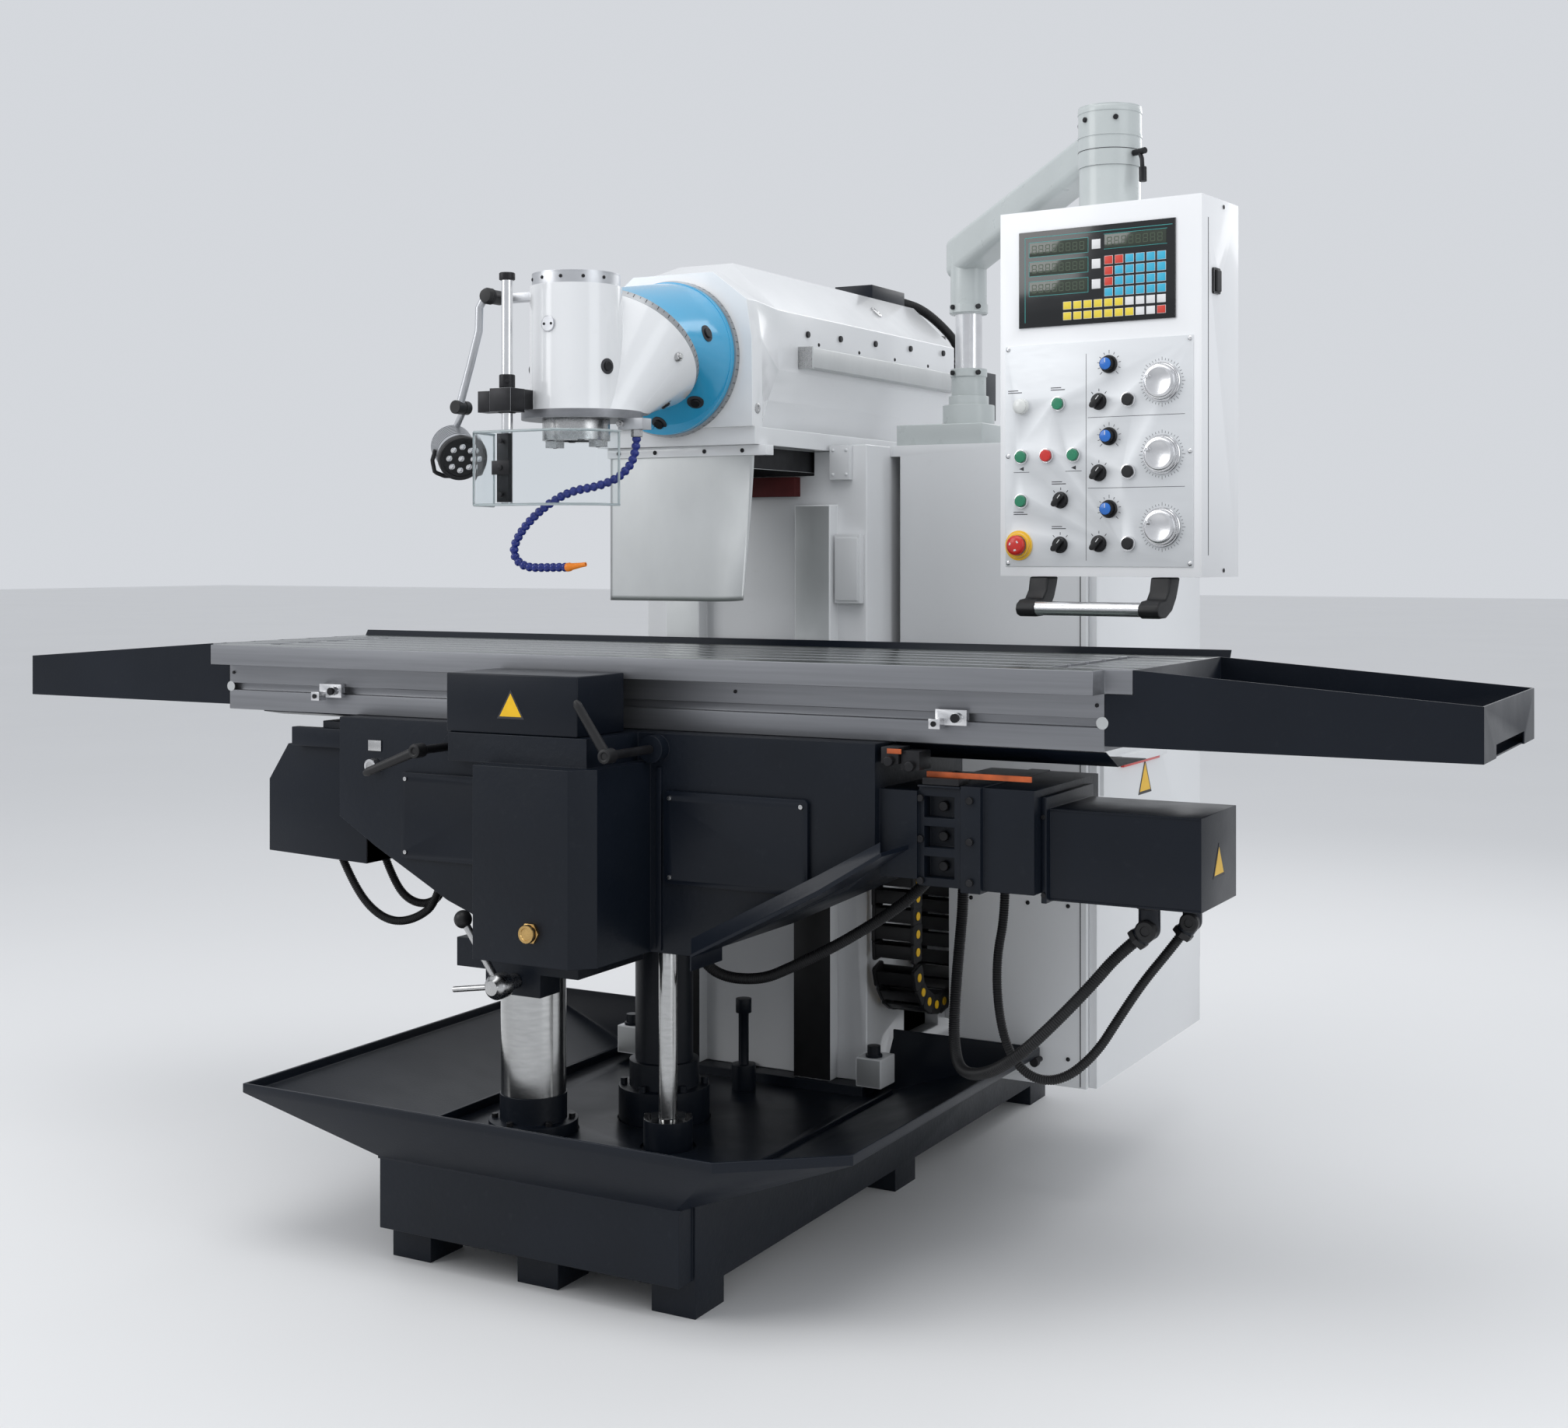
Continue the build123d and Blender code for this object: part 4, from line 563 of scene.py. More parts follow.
def knee_cover_paint(f):
    c = f.calc_center_median()
    if abs(c.x + 0.523) < 0.018 and c.y < -0.2342:
        return 1
    if c.y < -0.4:
        return 2
    if c.y < -0.2431:
        return 1
    if -0.541 < c.x < -0.504 and c.z > 0.94:
        return 1
    return 0


from_cad("knee_covers", [DARK, BRIGHT, BRASS], 0.0012, 2, paint=knee_cover_paint)
bm = bmesh.new()
revolve(bm, (25, -463.9, 665), FRONT, [(0, 16.9), (2, 16.2), (2, 11.5), (0.4, 10.5), (0.4, 0)], 32)
revolve(bm, (25, -450.2, 665), FRONT, [(0, 20), (5, 20), (6, 18), (6, 17.2)], 6)
piece("sight_glass_rim", bm, BRASS, "knee")
bm = bmesh.new()
revolve(bm, (-523, -249.6, 923), FRONT, [(0, 14.5), (1.5, 13.8), (1.5, 9), (-1.5, 8.5), (-1.5, 0)], 24)
piece("crank_socket_rim", bm, CHROME, "knee")
bm = bmesh.new()
# bolts of the drive bracket and the covers
for x, y, zs in ((694, -206.2, (925, 853, 779)), (791, -212.2, (926, 854, 783))):
    for z in zs:
        hexbolt(bm, (x, y, z), FRONT, 6.5, 7)
for z in (785, 838, 891):
    hexbolt(bm, (729, -180.2, z + 19), FRONT, 9, 9)
for z in (765, 900):
    hexbolt(bm, (910, -168.2, z), FRONT, 4, 4)
piece("bracket_bolts", bm, BLACKST, "knee")
bm = bmesh.new()
# raised ribs on the knee's front: the cast frame at each side of the front block
box(bm, (160, -239, 610), (172, -233.5, 955))
box(bm, (690, -214.2, 945), (772, -205, 949))
box(bm, (-205, -245.5, 700), (-190, -233.5, 1012))
piece("knee_ribs", bm, CASTDARK, "knee", width=0.003)
bm = bmesh.new()
# limit switches and rollers below the table's front edge at the right
box(bm, (628, -232, 985), (662, -182, 1014))
box(bm, (664, -226, 975), (700, -178, 1008))
cyl(bm, (646, -232, 990), (646, -244, 990), 9, 20)
cyl(bm, (684, -226, 982), (684, -238, 982), 9, 20)
box(bm, (700, -214, 950.2), (770, -170, 962))
piece("limit_switches", bm, BLACKST, "knee", width=0.0015)
bm = bmesh.new()
box(bm, (702, -200, 962.2), (900, -196, 972))
box(bm, (640, -233, 1003), (668, -231.8, 1012))
piece("limit_rail", bm, OILRED, "knee", width=0.0008)
bm = bmesh.new()
# elbow connectors' ribbed nuts
for c, d, r in ((DRIVE_ELBOW, DRIVE_DIR, 20), (MOTOR_ELBOW, MOTOR_DIR, 18)):
    cyl(bm, (c.x, c.y, 752.8), (c.x, c.y, 738), r + 3, 6)
    cyl(bm, c + d * 33.8, c + d * 22, r + 1.5, 6)
    profile = ((0, 0.95), (0.6, 0.95), (0.72, 0.8), (0.72, 0.45), (0.6, 0.4), (0.6, 0))
    revolve(bm, (c.x, c.y - r * 0.6, c.z), FRONT, [(r * s, r * q) for s, q in profile], 28)
piece("elbow_nuts", bm, BLACK, "knee", width=0.0006)
bm = bmesh.new()
# seams on the front of the drive cover
for z in (755, 909):
    box(bm, (917, -151.2, z), (1182, -150.2, z + 2))
piece("cover_seams", bm, DARK, "knee")


def ratchet(name, node, hub, reach, hub_y):
    """A ratchet clamping lever: hub with a screw, tapered moulded arm with a rounded end."""
    bm = bmesh.new()
    x, z = hub
    arm = Vector((reach[0], 0, reach[1]))
    along = arm.normalized()
    cyl(bm, (x, -260.4, z), (x, hub_y + 10, z), 8.5, 24, 1)
    revolve(bm, (x, hub_y + 14, z), FRONT,
        [(0, 11), (4, 14), (26, 14.2), (29, 13), (30, 9), (29, 7), (27, 6), (27, 0)], 36)
    across = Vector((-along.z, 0, along.x))
    rings = []
    steps = 14
    for k in range(steps + 1):
        s = k / steps
        c = Vector((x, hub_y - 5 - 7 * s, z)) + along * (6 + (arm.length - 6) * s)
        end = 1 if k < steps else 0.55
        w = (10.5 - 3.6 * s + 2.0 * s * s) * end
        h = (8.0 - 2.6 * s + 1.2 * s * s) * end
        rings.append([bm.verts.new((c + u) * MM) for u in circle(across * w, Vector(FRONT) * h, 16)])
    skin(bm, rings)
    bm.faces.new(rings[-1])
    bm.faces.new(rings[0][::-1])
    bmesh.ops.recalc_face_normals(bm, faces=bm.faces)
    piece(name, bm, [BLACK, BLACKST], node, (node,))


ratchet("left_clamp_lever", "table_lever_left", (-302, 975), (-126, -50), -366)
ratchet("right_clamp_lever", "table_lever_right", (161, 990), (-64, 98), -400)

# the pillar's clamping lever: hub, rod with a ball, and a short pin
x, z, hy = -126, 533, -325
bm = bmesh.new()
cyl(bm, (x, -291.4, z), (x, hy + 2, z), 15, 32)
revolve(bm, (x, hy + 1, z), FRONT, [(0, 20), (4, 24), (9, 25), (30, 25), (36, 22), (39, 18), (45, 14),
    (46, 0)], 40)
cyl(bm, (x - 14, hy - 14, z + 16), (x - 80, hy - 22, z + 116), 7.4, 20)
cyl(bm, (x - 14, hy - 26, z - 2), (x - 98, hy - 32, z - 14), 5.6, 16)
piece("pillar_clamp_hub", bm, BRIGHT, "column_lever", ("column_lever",))
bm = bmesh.new()
c, d = Vector((x - 83, hy - 22.4, z + 120.5)), Vector((-0.55, -0.07, 0.83)).normalized()
ball = [(18 - 17.6 * cos(pi * k / 14), 17.6 * sin(pi * k / 14)) for k in range(2, 14)]
revolve(bm, c - d * 18, d, [(0, 6)] + ball + [(35.6, 0)], 28)
piece("pillar_clamp_ball", bm, BLACK, "column_lever")

# --- table
def table_paint(f):
    return 1 if f.calc_center_median().z > 1.12 and f.normal.z > 0.5 else 0


from_cad("table", [STEEL, TABLETOP], 0.0016, 2, paint=table_paint)
from_cad("table_guards", DARK, 0.0008, 1)
bm = bmesh.new()
# sheet metal plate behind the table, and the ends of the dog groove
prism(bm, [(-988, 319, 1127), (1038, 319, 1127), (1038, 349.6, 1171.5), (-988, 349.6, 1171.5)],
    (0, -0.8, 0.6), 0.5)
for xx in (-971, 1021):
    cyl(bm, (xx, -181.4, 1068), (xx, -179, 1068), 11, 24)
piece("rear_splash_plate", bm, SHEETMET, "table")
bm = bmesh.new()
for xx in (-962, -350, 300, 1012):
    hexbolt(bm, (xx, -181.2, 1098), FRONT, 3.5, 2)
piece("table_plugs", bm, BLACKST, "table")
for side, xx in (("left", -678), ("right", 746)):
    from_cad("stop_dog_" + side, CHROME, 0.0022, 2)
    bm = bmesh.new()
    hexbolt(bm, (xx + 14, -205, 1068), FRONT, 8, 7)
    hexbolt(bm, (xx - 24, -214.8, 1057), FRONT, 5, 3)
    piece("stop_dog_screws_" + side, bm, BLACKST, "stop_dog_" + side)

# --- ram
from_cad("ram_casting", WHITE, 0.007, 3, angle=18)


def trim_paint(f):
    return 1 if f.calc_center_median().z < 1.62 else 0


from_cad("ram_trim", [SHEETMET, BLACKST], 0.0025, 2, paint=trim_paint)
from_cad("spindle_motor", DARK, 0.004, 2)
bm = bmesh.new()
for k in range(22):
    t = 2 * pi * k / 22
    u = Vector((cos(t), 0, sin(t)))
    c = Vector((0, 1132, 1755))
    w = Vector((-sin(t), 0, cos(t))) * 1.6
    a, b = c + u * 123.5, c + u * 133
    prism(bm, [a - w, b - w, b + w, a + w], BACK, 280)
piece("motor_fins", bm, DARK, "ram")
bm = bmesh.new()
# perforated front of the scale's cover: a frame with small raised studs
box(bm, (178, 293.6, 1746), (208, 296.2, 1792))
for i in range(8):
    for j in range(12):
        x, z = 181.5 + i * 3.4, 1749.5 + j * 3.5
        cyl(bm, (x, 293.6, z), (x, 293.0, z), 0.9, 8)
piece("scale_cover_front", bm, BRIGHT, "ram", width=0.0004)
bm = bmesh.new()
for y in (330, 520, 700, 880, 1040):
    panscrew(bm, (206.2, y, 1798), RIGHT, 4)
for y in (335, 487, 660, 846, 1032):
    hexbolt(bm, (175.6, y, 1822 + 0.03 * (y - 335)), RIGHT, 7, 5)
piece("ram_screws", bm, BLACKST, "ram")
bm = bmesh.new()
n = Vector((0.69, 0, 0.72)).normalized()
revolve(bm, Vector((114, 790, 1920)), n, [(-1, 16), (3, 16), (4, 14), (4, 11), (2.5, 10), (2.5, 0)], 28)
revolve(bm, (189.6, 96, 1650), RIGHT, [(0, 11), (1, 11), (1.6, 10), (1.6, 6), (0.8, 5.4), (0.8, 0)], 24)
piece("ram_sight_glass", bm, BRIGHT, "ram")
bm = bmesh.new()
cyl(bm, (30, 1060.5, 1983), (30, 1082, 1983), 17, 6)
cyl(bm, (125, 1250, 1815.2), (125, 1250, 1836), 17, 6)
piece("hose_nuts", bm, BLACK, "ram", width=0.001)

# splash sheet: a thin plate whose free right edge curls towards the viewer
bm = bmesh.new()
COLS, ROWS_UP = 40, 30
LEFT, WIDE, LOW, HIGH, SHEET_Y = -175.0, 350.0, 1258.0, 318.0, 111.2
grid = []
for j in range(ROWS_UP + 1):
    tz = j / ROWS_UP
    drop = (1 - tz) ** 1.3
    row = []
    for i in range(COLS + 1):
        tx = i / COLS
        curl = max(0.0, (tx - 0.72) / 0.28) ** 2 * 26 * drop
        belly = 3.0 * sin(pi * tx) * sin(pi * tz)
        row.append(bm.verts.new(P(LEFT + WIDE * tx - curl * 0.45, SHEET_Y - curl - belly * 0.4,
            LOW + HIGH * tz + curl * 0.15)))
    grid.append(row)
for a, b in zip(grid, grid[1:]):
    for i in range(COLS):
        bm.faces.new((a[i], a[i + 1], b[i + 1], b[i]))
o = piece("splash_sheet_metal", bm, SHEETMET, "ram", ("splash_sheet",), smooth=60)
m = o.modifiers.new("thick", "SOLIDIFY")
m.thickness = 0.0014
m.offset = 1
bm = bmesh.new()
box(bm, (-180, 104, 1556), (206, 135, 1577.2))
piece("splash_sheet_strip", bm, WHITE, "ram", width=0.002)
bm = bmesh.new()
for xx in (-150, -60, 60, 150):
    panscrew(bm, (xx, 103.9, 1566), FRONT, 4.5)
piece("splash_sheet_screws", bm, BLACKST, "ram")

# --- swivel housing and head
TILT_AT = Vector((0, -97, 1755))
TILT_AXIS = Vector((0, -1, -1)).normalized()
HEAD_Y = -269


def swivel_paint(f):
    """1 on the two graduated rings: behind y = 61.2, and round the inclined joint."""
    vs = [v.co / MM for v in f.verts]
    rear = min(v.y for v in vs) > 61.2
    front = all((v - TILT_AT).dot(TILT_AXIS) > -14.6 and (v - TILT_AT).cross(TILT_AXIS).length < 151.5
        for v in vs)
    return 1 if rear or front else 0


from_cad("swivel_housing", [BLUE, DIALRING], 0.0025, 3, paint=swivel_paint)


def ring_ticks(name, centre, axis, radius, low, high):
    """Degree marks engraved round a graduated ring, a long one every ten degrees."""
    bm = bmesh.new()
    x, y, d = frame_of(axis)
    for k in range(0, 360, 5):
        u = x * cos(radians(k)) + y * sin(radians(k))
        w = d.cross(u).normalized() * (0.55 if k % 10 else 0.8)
        top = high if k % 10 == 0 else low + (high - low) * 0.62
        c = Vector(centre) + u * (radius - 0.4)
        prism(bm, [c + d * low - w, c + d * top - w, c + d * top + w, c + d * low + w], u, 0.6)
    piece(name, bm, INK, "swivel")


ring_ticks("head_degree_marks", TILT_AT, TILT_AXIS, 150, -13, -4)
ring_ticks("swivel_degree_marks", (0, 76, 1755), FRONT, 160, 2, 12)
bm = bmesh.new()
dark = bmesh.new()
# bolts of the housing, each on a raised dark disc: the disc is painted shade standing in for the bolt's
# pocket
for p, n in (((147, -31, 1791), (0.97, -0.05, 0.26)), ((89, 21, 1661), (0.26, -0.61, -0.75)),
        ((-12, 45, 1622), (-0.03, -0.81, -0.59)),
             ((-147, -31, 1791), (-0.97, -0.05, 0.26)), ((-110, 21, 1664), (-0.4, -0.58, -0.7))):
    n, p = Vector(n).normalized(), Vector(p)
    revolve(dark, p - n * 3, n, [(0, 17), (4.0, 17), (4.6, 16), (4.4, 0)], 28)
    hexbolt(bm, p + n * 1.0, n, 10.5, 5)
piece("swivel_bolt_pocket_shade", dark, [INK], "swivel", smooth=40)
piece("swivel_bolts", bm, BLACKST, "swivel")


def head_paint(f):
    c = f.calc_center_median() / MM
    r = sqrt(c.x ** 2 + (c.y - HEAD_Y) ** 2)
    if c.z > 1863.2 and r < 88.5:
        return 1
    if c.z < 1626.5:
        return 2
    return 0


from_cad("head_casting", [WHITE, ALU, STEEL], 0.005, 3, angle=30, paint=head_paint)
bm = bmesh.new()
rim = bmesh.new()
# lid ring on the head with small screws, and its upper disc
revolve(rim, (0, HEAD_Y, 1883.7), UP,
    [(0, 84.2), (2.4, 84.2), (3.5, 83), (3.5, 66), (3.4, 64), (3.4, 30), (3.6, 28), (3.6, 0)], 56)
for k in range(6):
    t = pi + 0.3 + k * (pi - 0.6) / 5
    panscrew(bm, (84 * cos(t), HEAD_Y + 84 * sin(t), 1875), (cos(t), sin(t), 0), 3.4)
# round plug on the head's face, held by two screws
revolve(rim, (-2, -356.4, 1786), FRONT, [(0, 15), (2.5, 15), (3.4, 13.6), (3.4, 0)], 28, 0)
for x in (-10, 6):
    panscrew(bm, (x, -359.6, 1786), FRONT, 2.6)
# three bolts on the head casting, each on a raised dark ink disc: the disc is painted shade standing in for
# the bolt's pocket
for p, n in (((85, -290, 1708), (0.97, -0.23, 0)), ((88, -92, 1649), (0.5, 0.26, -0.82)),
        ((-85, -290, 1708), (-0.97, -0.23, 0))):
    n, p = Vector(n).normalized(), Vector(p)
    revolve(bm, p - n * 2, n, [(0, 15), (3.2, 15), (3.6, 14.2), (3.4, 0)], 28, 1)
    hexbolt(bm, p + n * 0.8, n, 9.5, 5)
# the lid ends where the inclined joint cuts the casting, so that the head can turn past the housing
every = rim.verts[:] + rim.edges[:] + rim.faces[:]
cut = bmesh.ops.bisect_plane(rim, geom=every, plane_co=(TILT_AT + TILT_AXIS * 2.0) * MM, plane_no=TILT_AXIS,
    clear_inner=True)
bmesh.ops.edgeloop_fill(rim, edges=[e for e in cut["geom_cut"] if isinstance(e, bmesh.types.BMEdge)])
piece("head_lid", rim, [ALU, WHITE], "head")
piece("head_screws", bm, [BLACKST, INK], "head")
bm = bmesh.new()
cyl(bm, (138, -131, 1735), (148, -131, 1737), 9, 24)
cyl(bm, (147, -131, 1737), (151, -131, 1738), 6, 20)
piece("head_stop_rod", bm, BRIGHT, "head")

from_cad("spindle", BRIGHT, 0.002, 3)
bm = bmesh.new()
for k in range(4):
    t = pi / 4 + k * pi / 2
    hexbolt(bm, (49 * cos(t), HEAD_Y + 49 * sin(t), 1571.2), DOWN, 7, 1.2)
for s in (-1, 1):
    hexbolt(bm, (50 * s, HEAD_Y, 1558.4), DOWN, 4.5, 0.8)
piece("spindle_nose_screws", bm, BLACKST, "spindle")


def fittings_paint(f):
    return 1 if f.calc_center_median().y / MM < -342 else 0


POST_X, POST_Y = -65, -400
from_cad("head_fittings", [ALU, BLACKST], 0.0015, 2, paint=fittings_paint)
bm = bmesh.new()
revolve(bm, (POST_X, POST_Y, 1618), UP,
    [(0, 15.5), (1.2, 17), (44, 17), (45.6, 15.5), (45.6, 10.9), (0, 10.9)], 36)
for z in (1630, 1652):
    cyl(bm, (POST_X - 22, POST_Y + 10, z), (POST_X - 16, POST_Y + 4, z), 5, 18)
    hexbolt(bm, (POST_X + 14, POST_Y - 8, z), (0.8, -0.6, 0), 4, 5)
piece("guard_clamp_collar", bm, BLACKST, "head", width=0.0004)

# --- guard: post, brackets, bent clear sheet
bm = bmesh.new()
cyl(bm, (POST_X, POST_Y, 1446), (POST_X, POST_Y, 1876), 10.5, 32)
piece("guard_post", bm, CHROME, "guard", ("guard_screen",))
bm = bmesh.new()
cyl(bm, (POST_X, POST_Y, 1866), (POST_X, POST_Y, 1880), 15, 32)
cyl(bm, (POST_X, POST_Y, 1664.4), (POST_X, POST_Y, 1690), 15, 32)
hexbolt(bm, (POST_X + 9, POST_Y - 11, 1677), (0.6, -0.8, 0), 4, 4)
box(bm, (POST_X - 13, -413.6, 1452), (POST_X + 13, -401, 1580))
for z in (1466, 1516, 1566):
    hexbolt(bm, (POST_X, -419.6, z), FRONT, 5, 4)
box(bm, (POST_X - 20, -421.2, 1503), (POST_X + 20, -419.4, 1529))
piece("guard_brackets", bm, BLACKST, "guard", width=0.0008)


SHEET_LOW, SHEET_HIGH = 1447.2, 1583.8
outer = [(-152, -330), (-137, -411), (-131, -418.6), (-122, -419), (46, -419), (56, -417), (63, -411),
    (112, -371), (117, -363), (126, -310)]
inner = [(122, -309.5), (113, -361), (109, -367), (60, -407.4), (53, -412.6), (45, -414), (-122, -414),
    (-128, -413), (-132.5, -409), (-147.4, -329)]
bm = bmesh.new()
prism(bm, [(x, y, SHEET_LOW) for x, y in outer + inner], UP, SHEET_HIGH - SHEET_LOW)
piece("guard_sheet", bm, CLEAR, "guard", smooth=40)
bm = bmesh.new()
for z in (SHEET_LOW, SHEET_HIGH):
    tube_mesh(bm, [P(x + (1.5 if x < 0 else -1.5), y + 2.4, z) for x, y in outer], 0.0026, 8)
for x, y in ((-150, -330), (124.5, -310)):
    tube_mesh(bm, [P(x, y, SHEET_LOW), P(x, y, SHEET_HIGH)], 0.0026, 8)
piece("guard_sheet_edges", bm, EDGE, "guard", smooth=40)

# --- work lamp
LAMP_PIVOT, LAMP_ELBOW = Vector((-170, -300, 1852)), Vector((-255, -300, 1642))
LAMP_FACE, LAMP_AXIS = Vector((-236, -318, 1541)), Vector((0.74, -0.56, -0.38)).normalized()
bm = bmesh.new()
cyl(bm, LAMP_PIVOT - Vector((0, -18.6, 0)), LAMP_PIVOT - Vector((0, 13, 0)), 14, 32, 1)
revolve(bm, LAMP_PIVOT - Vector((0, 12, 0)), FRONT,
    [(0, 16)] + [(4 + k * 2, 16 - 1.2 * (k % 2)) for k in range(6)] + [(18, 13), (19, 0)], 16, 1)
bend = [LAMP_PIVOT + Vector(p) for p in ((0, 0, 0), (-18, 0, -1), (-28, 0, -6), (-36, 0, -18))]
bend += [LAMP_PIVOT.lerp(LAMP_ELBOW, 0.3) + Vector((-12, 0, 0)),
    LAMP_PIVOT.lerp(LAMP_ELBOW, 0.6) + Vector((-6, 0, 0)), LAMP_ELBOW]
tube_mesh(bm, [p * MM for p in bend], 0.0078, 16)
cyl(bm, LAMP_ELBOW + Vector((0, 8.6, 0)), LAMP_ELBOW - Vector((0, 14, 0)), 13.4, 32, 1)
piece("lamp_arm_tubes", bm, [ALU, BLACK], "lamp_arm", ("lamp_arm",))
bm = bmesh.new()
cyl(bm, LAMP_ELBOW + Vector((0, 9.5, 0)), LAMP_ELBOW + Vector((0, 26, 0)), 13.6, 32, 1)
back = LAMP_FACE - LAMP_AXIS * 84
cyl(bm, LAMP_ELBOW + Vector((0, 17, 0)), back + Vector((0, 0, 10)), 6.6, 16, 0)
prof = [(0, 18), (2, 27)]
for k in range(9):
    prof += [(4 + k * 5.6, 41.5), (7 + k * 5.6, 41.5), (7.1 + k * 5.6, 36), (9.4 + k * 5.6, 36)]
prof += [(55.6, 41.5), (72, 42), (72, 30)]
revolve(bm, back, LAMP_AXIS, prof, 48, 0)
revolve(bm, LAMP_FACE - LAMP_AXIS * 12.5, LAMP_AXIS,
    [(0, 41), (0.6, 44.4), (13, 45), (16, 43), (16, 37), (13.5, 36), (13.5, 0)], 48, 1)
piece("lamp_body", bm, [ALU, BLACK], "lamp_head", ("lamp_head",))
bm = bmesh.new()
lx, ly, _ = frame_of(LAMP_AXIS)
for spot in [Vector()] + circle(lx * 24, ly * 24, 8):
    revolve(bm, LAMP_FACE + LAMP_AXIS * 1.2 + spot, LAMP_AXIS,
        [(0, 6.4), (1.2, 6.2), (1.6, 5.0), (1.0, 4.2), (2.4, 2.8), (3, 0)], 20, 0)
piece("lamp_leds", bm, CHROME, "lamp_head")
bm = bmesh.new()
down = (Vector(DOWN) - LAMP_AXIS * Vector(DOWN).dot(LAMP_AXIS)).normalized()
side = LAMP_AXIS.cross(down).normalized()
mid = LAMP_FACE - LAMP_AXIS * 36
half = ((43, -4), (47, 18), (40, 42), (20, 50))
loop = [mid + side * a + down * b for a, b in half] + [mid - side * a + down * b for a, b in half[::-1]]
tube_mesh(bm, resample([p * MM for p in loop], 0.006), 0.0042, 12)
piece("lamp_bow", bm, BLACK, "lamp_head")

# --- ball-jointed coolant hose
hose = spline_points("coolant_line",
    [(124, -248, 1590), (124, -248, 1545), (112, -272, 1505), (76, -302, 1482), (22, -324, 1474),
    (-36, -334, 1440),
                                      (-84, -336, 1396), (-104, -334, 1356), (-78, -332, 1330), (-28, -330,
                                          1330), (24, -329, 1331)])
BEAD = 0.0134
beads = resample(hose, BEAD)
bm = bmesh.new()
profile = [(-1.2, 5.2), (0.4, 7.4), (3.0, 8.5), (6.2, 8.5), (8.2, 7.6), (9.6, 6.0), (12.4, 5.4)]
for a, b in zip(beads, beads[1:]):
    revolve(bm, a / MM, b - a, profile, 18)
piece("coolant_hose_joints", bm, LOCBLUE, "head", ("coolant_hose",))
bm = bmesh.new()
tip = Vector((66, -326, 1337))
end = beads[-1] / MM
nozzle = [(0, 6.5), (3, 8.3), (10, 8.3), (14, 6.6), (34, 4.6), (44, 4.2), (44, 2.6), (38, 2.4), (38, 0)]
revolve(bm, end - (tip - end).normalized() * 6, tip - end, nozzle, 24)
piece("coolant_nozzle", bm, ORANGE, "head")
bm = bmesh.new()
cyl(bm, (124, -248, 1590.5), (124, -248, 1576), 11, 6)
cyl(bm, (100, -262, 1601), (100, -272, 1601), 7, 20)
cyl(bm, (100, -271, 1601), (100, -278, 1601), 4, 12)
piece("coolant_valve", bm, BRIGHT, "head")

# --- pendant arm
YAW = radians(-6.2)
ACROSS, OUT, UPWARD = Vector((cos(YAW), sin(YAW), 0)), Vector((sin(YAW), -cos(YAW), 0)), Vector(UP)
BOX = Vector((683, 182, 1313))
ARM_X, ARM_Y = 416, 640


def pp(s, h, d=0.0):
    """A point on the pendant: s along its width, h up from its lower edge, d out of its face."""
    return BOX + ACROSS * s + UPWARD * h + OUT * d


def arm_paint(f):
    c = f.calc_center_median() / MM
    return 1 if sqrt((c.x - ARM_X) ** 2 + (c.y - ARM_Y) ** 2) < 30.5 and 1763 < c.z < 1881 else 0


from_cad("pendant_arm", [GREY, CHROME], 0.004, 3, paint=arm_paint)
bm = bmesh.new()
dark = bmesh.new()
SWIVEL_X, SWIVEL_Y = 888, 230
# low cap, seam ring and clamp collars of the swivel over the pendant; collars on the arm's post
revolve(bm, (SWIVEL_X, SWIVEL_Y, 2192), UP,
    [(0, 59), (0.6, 60.8), (9, 60.8), (11.5, 59.6), (13.2, 57), (13.9, 53), (13.9, 0)], 56)
revolve(bm, (SWIVEL_X, SWIVEL_Y, 2146), UP, [(0, 58), (0.5, 61.2), (6, 61.2), (6.5, 58)], 56)
revolve(bm, (ARM_X, ARM_Y, 1884), UP, [(0, 38), (0.8, 42.5), (19, 42.5), (20, 38)], 48)
revolve(bm, (ARM_X, ARM_Y, 1744), UP, [(0, 36), (0.8, 40.5), (17, 40.5), (18, 36)], 48)
piece("arm_collars", bm, GREY, "pendant_arm", smooth=40)
bm = bmesh.new()
revolve(bm, (SWIVEL_X, SWIVEL_Y, 2120), UP, [(0, 59), (0.4, 60.5), (1.6, 60.5), (2, 59)], 56)
cyl(dark, (SWIVEL_X + 56, SWIVEL_Y - 24, 2112), (SWIVEL_X + 84, SWIVEL_Y - 40, 2112), 6, 18)
tube_mesh(dark, [P(SWIVEL_X + 70, SWIVEL_Y - 32, 2112), P(SWIVEL_X + 76, SWIVEL_Y - 36, 2098),
    P(SWIVEL_X + 78, SWIVEL_Y - 37, 2070)], 0.0042, 12)
cyl(dark, (SWIVEL_X + 78, SWIVEL_Y - 37, 2082), (SWIVEL_X + 78.5, SWIVEL_Y - 37.4, 2054), 7.4, 20)
for k in range(3):
    t = radians(-60 - 60 * k)
    hexbolt(dark, (SWIVEL_X + 59.4 * cos(t), SWIVEL_Y + 59.4 * sin(t), 2178), (cos(t), sin(t), 0), 5, 4)
for z in (1896, 1752):
    hexbolt(dark, (ARM_X + 33, ARM_Y - 27, z), (0.77, -0.64, 0), 5.5, 6)
    hexbolt(dark, (ARM_X - 20, ARM_Y - 38, z), (-0.47, -0.88, 0), 5.5, 5)
for k in range(4):
    t = radians(45 + 90 * k)
    hexbolt(dark, (ARM_X + 48 * cos(t), ARM_Y + 48 * sin(t), 1637), UP, 6, 8)
piece("arm_screws", dark, BLACKST, "pendant_arm")
piece("arm_seam", bm, INK, "pendant_arm")


# --- pendant box, its plates and keys
def local(c):
    """Back from a place in metres to (s, h, d) of pp."""
    q = c / MM - BOX
    return q.dot(ACROSS), q.z, q.dot(OUT)


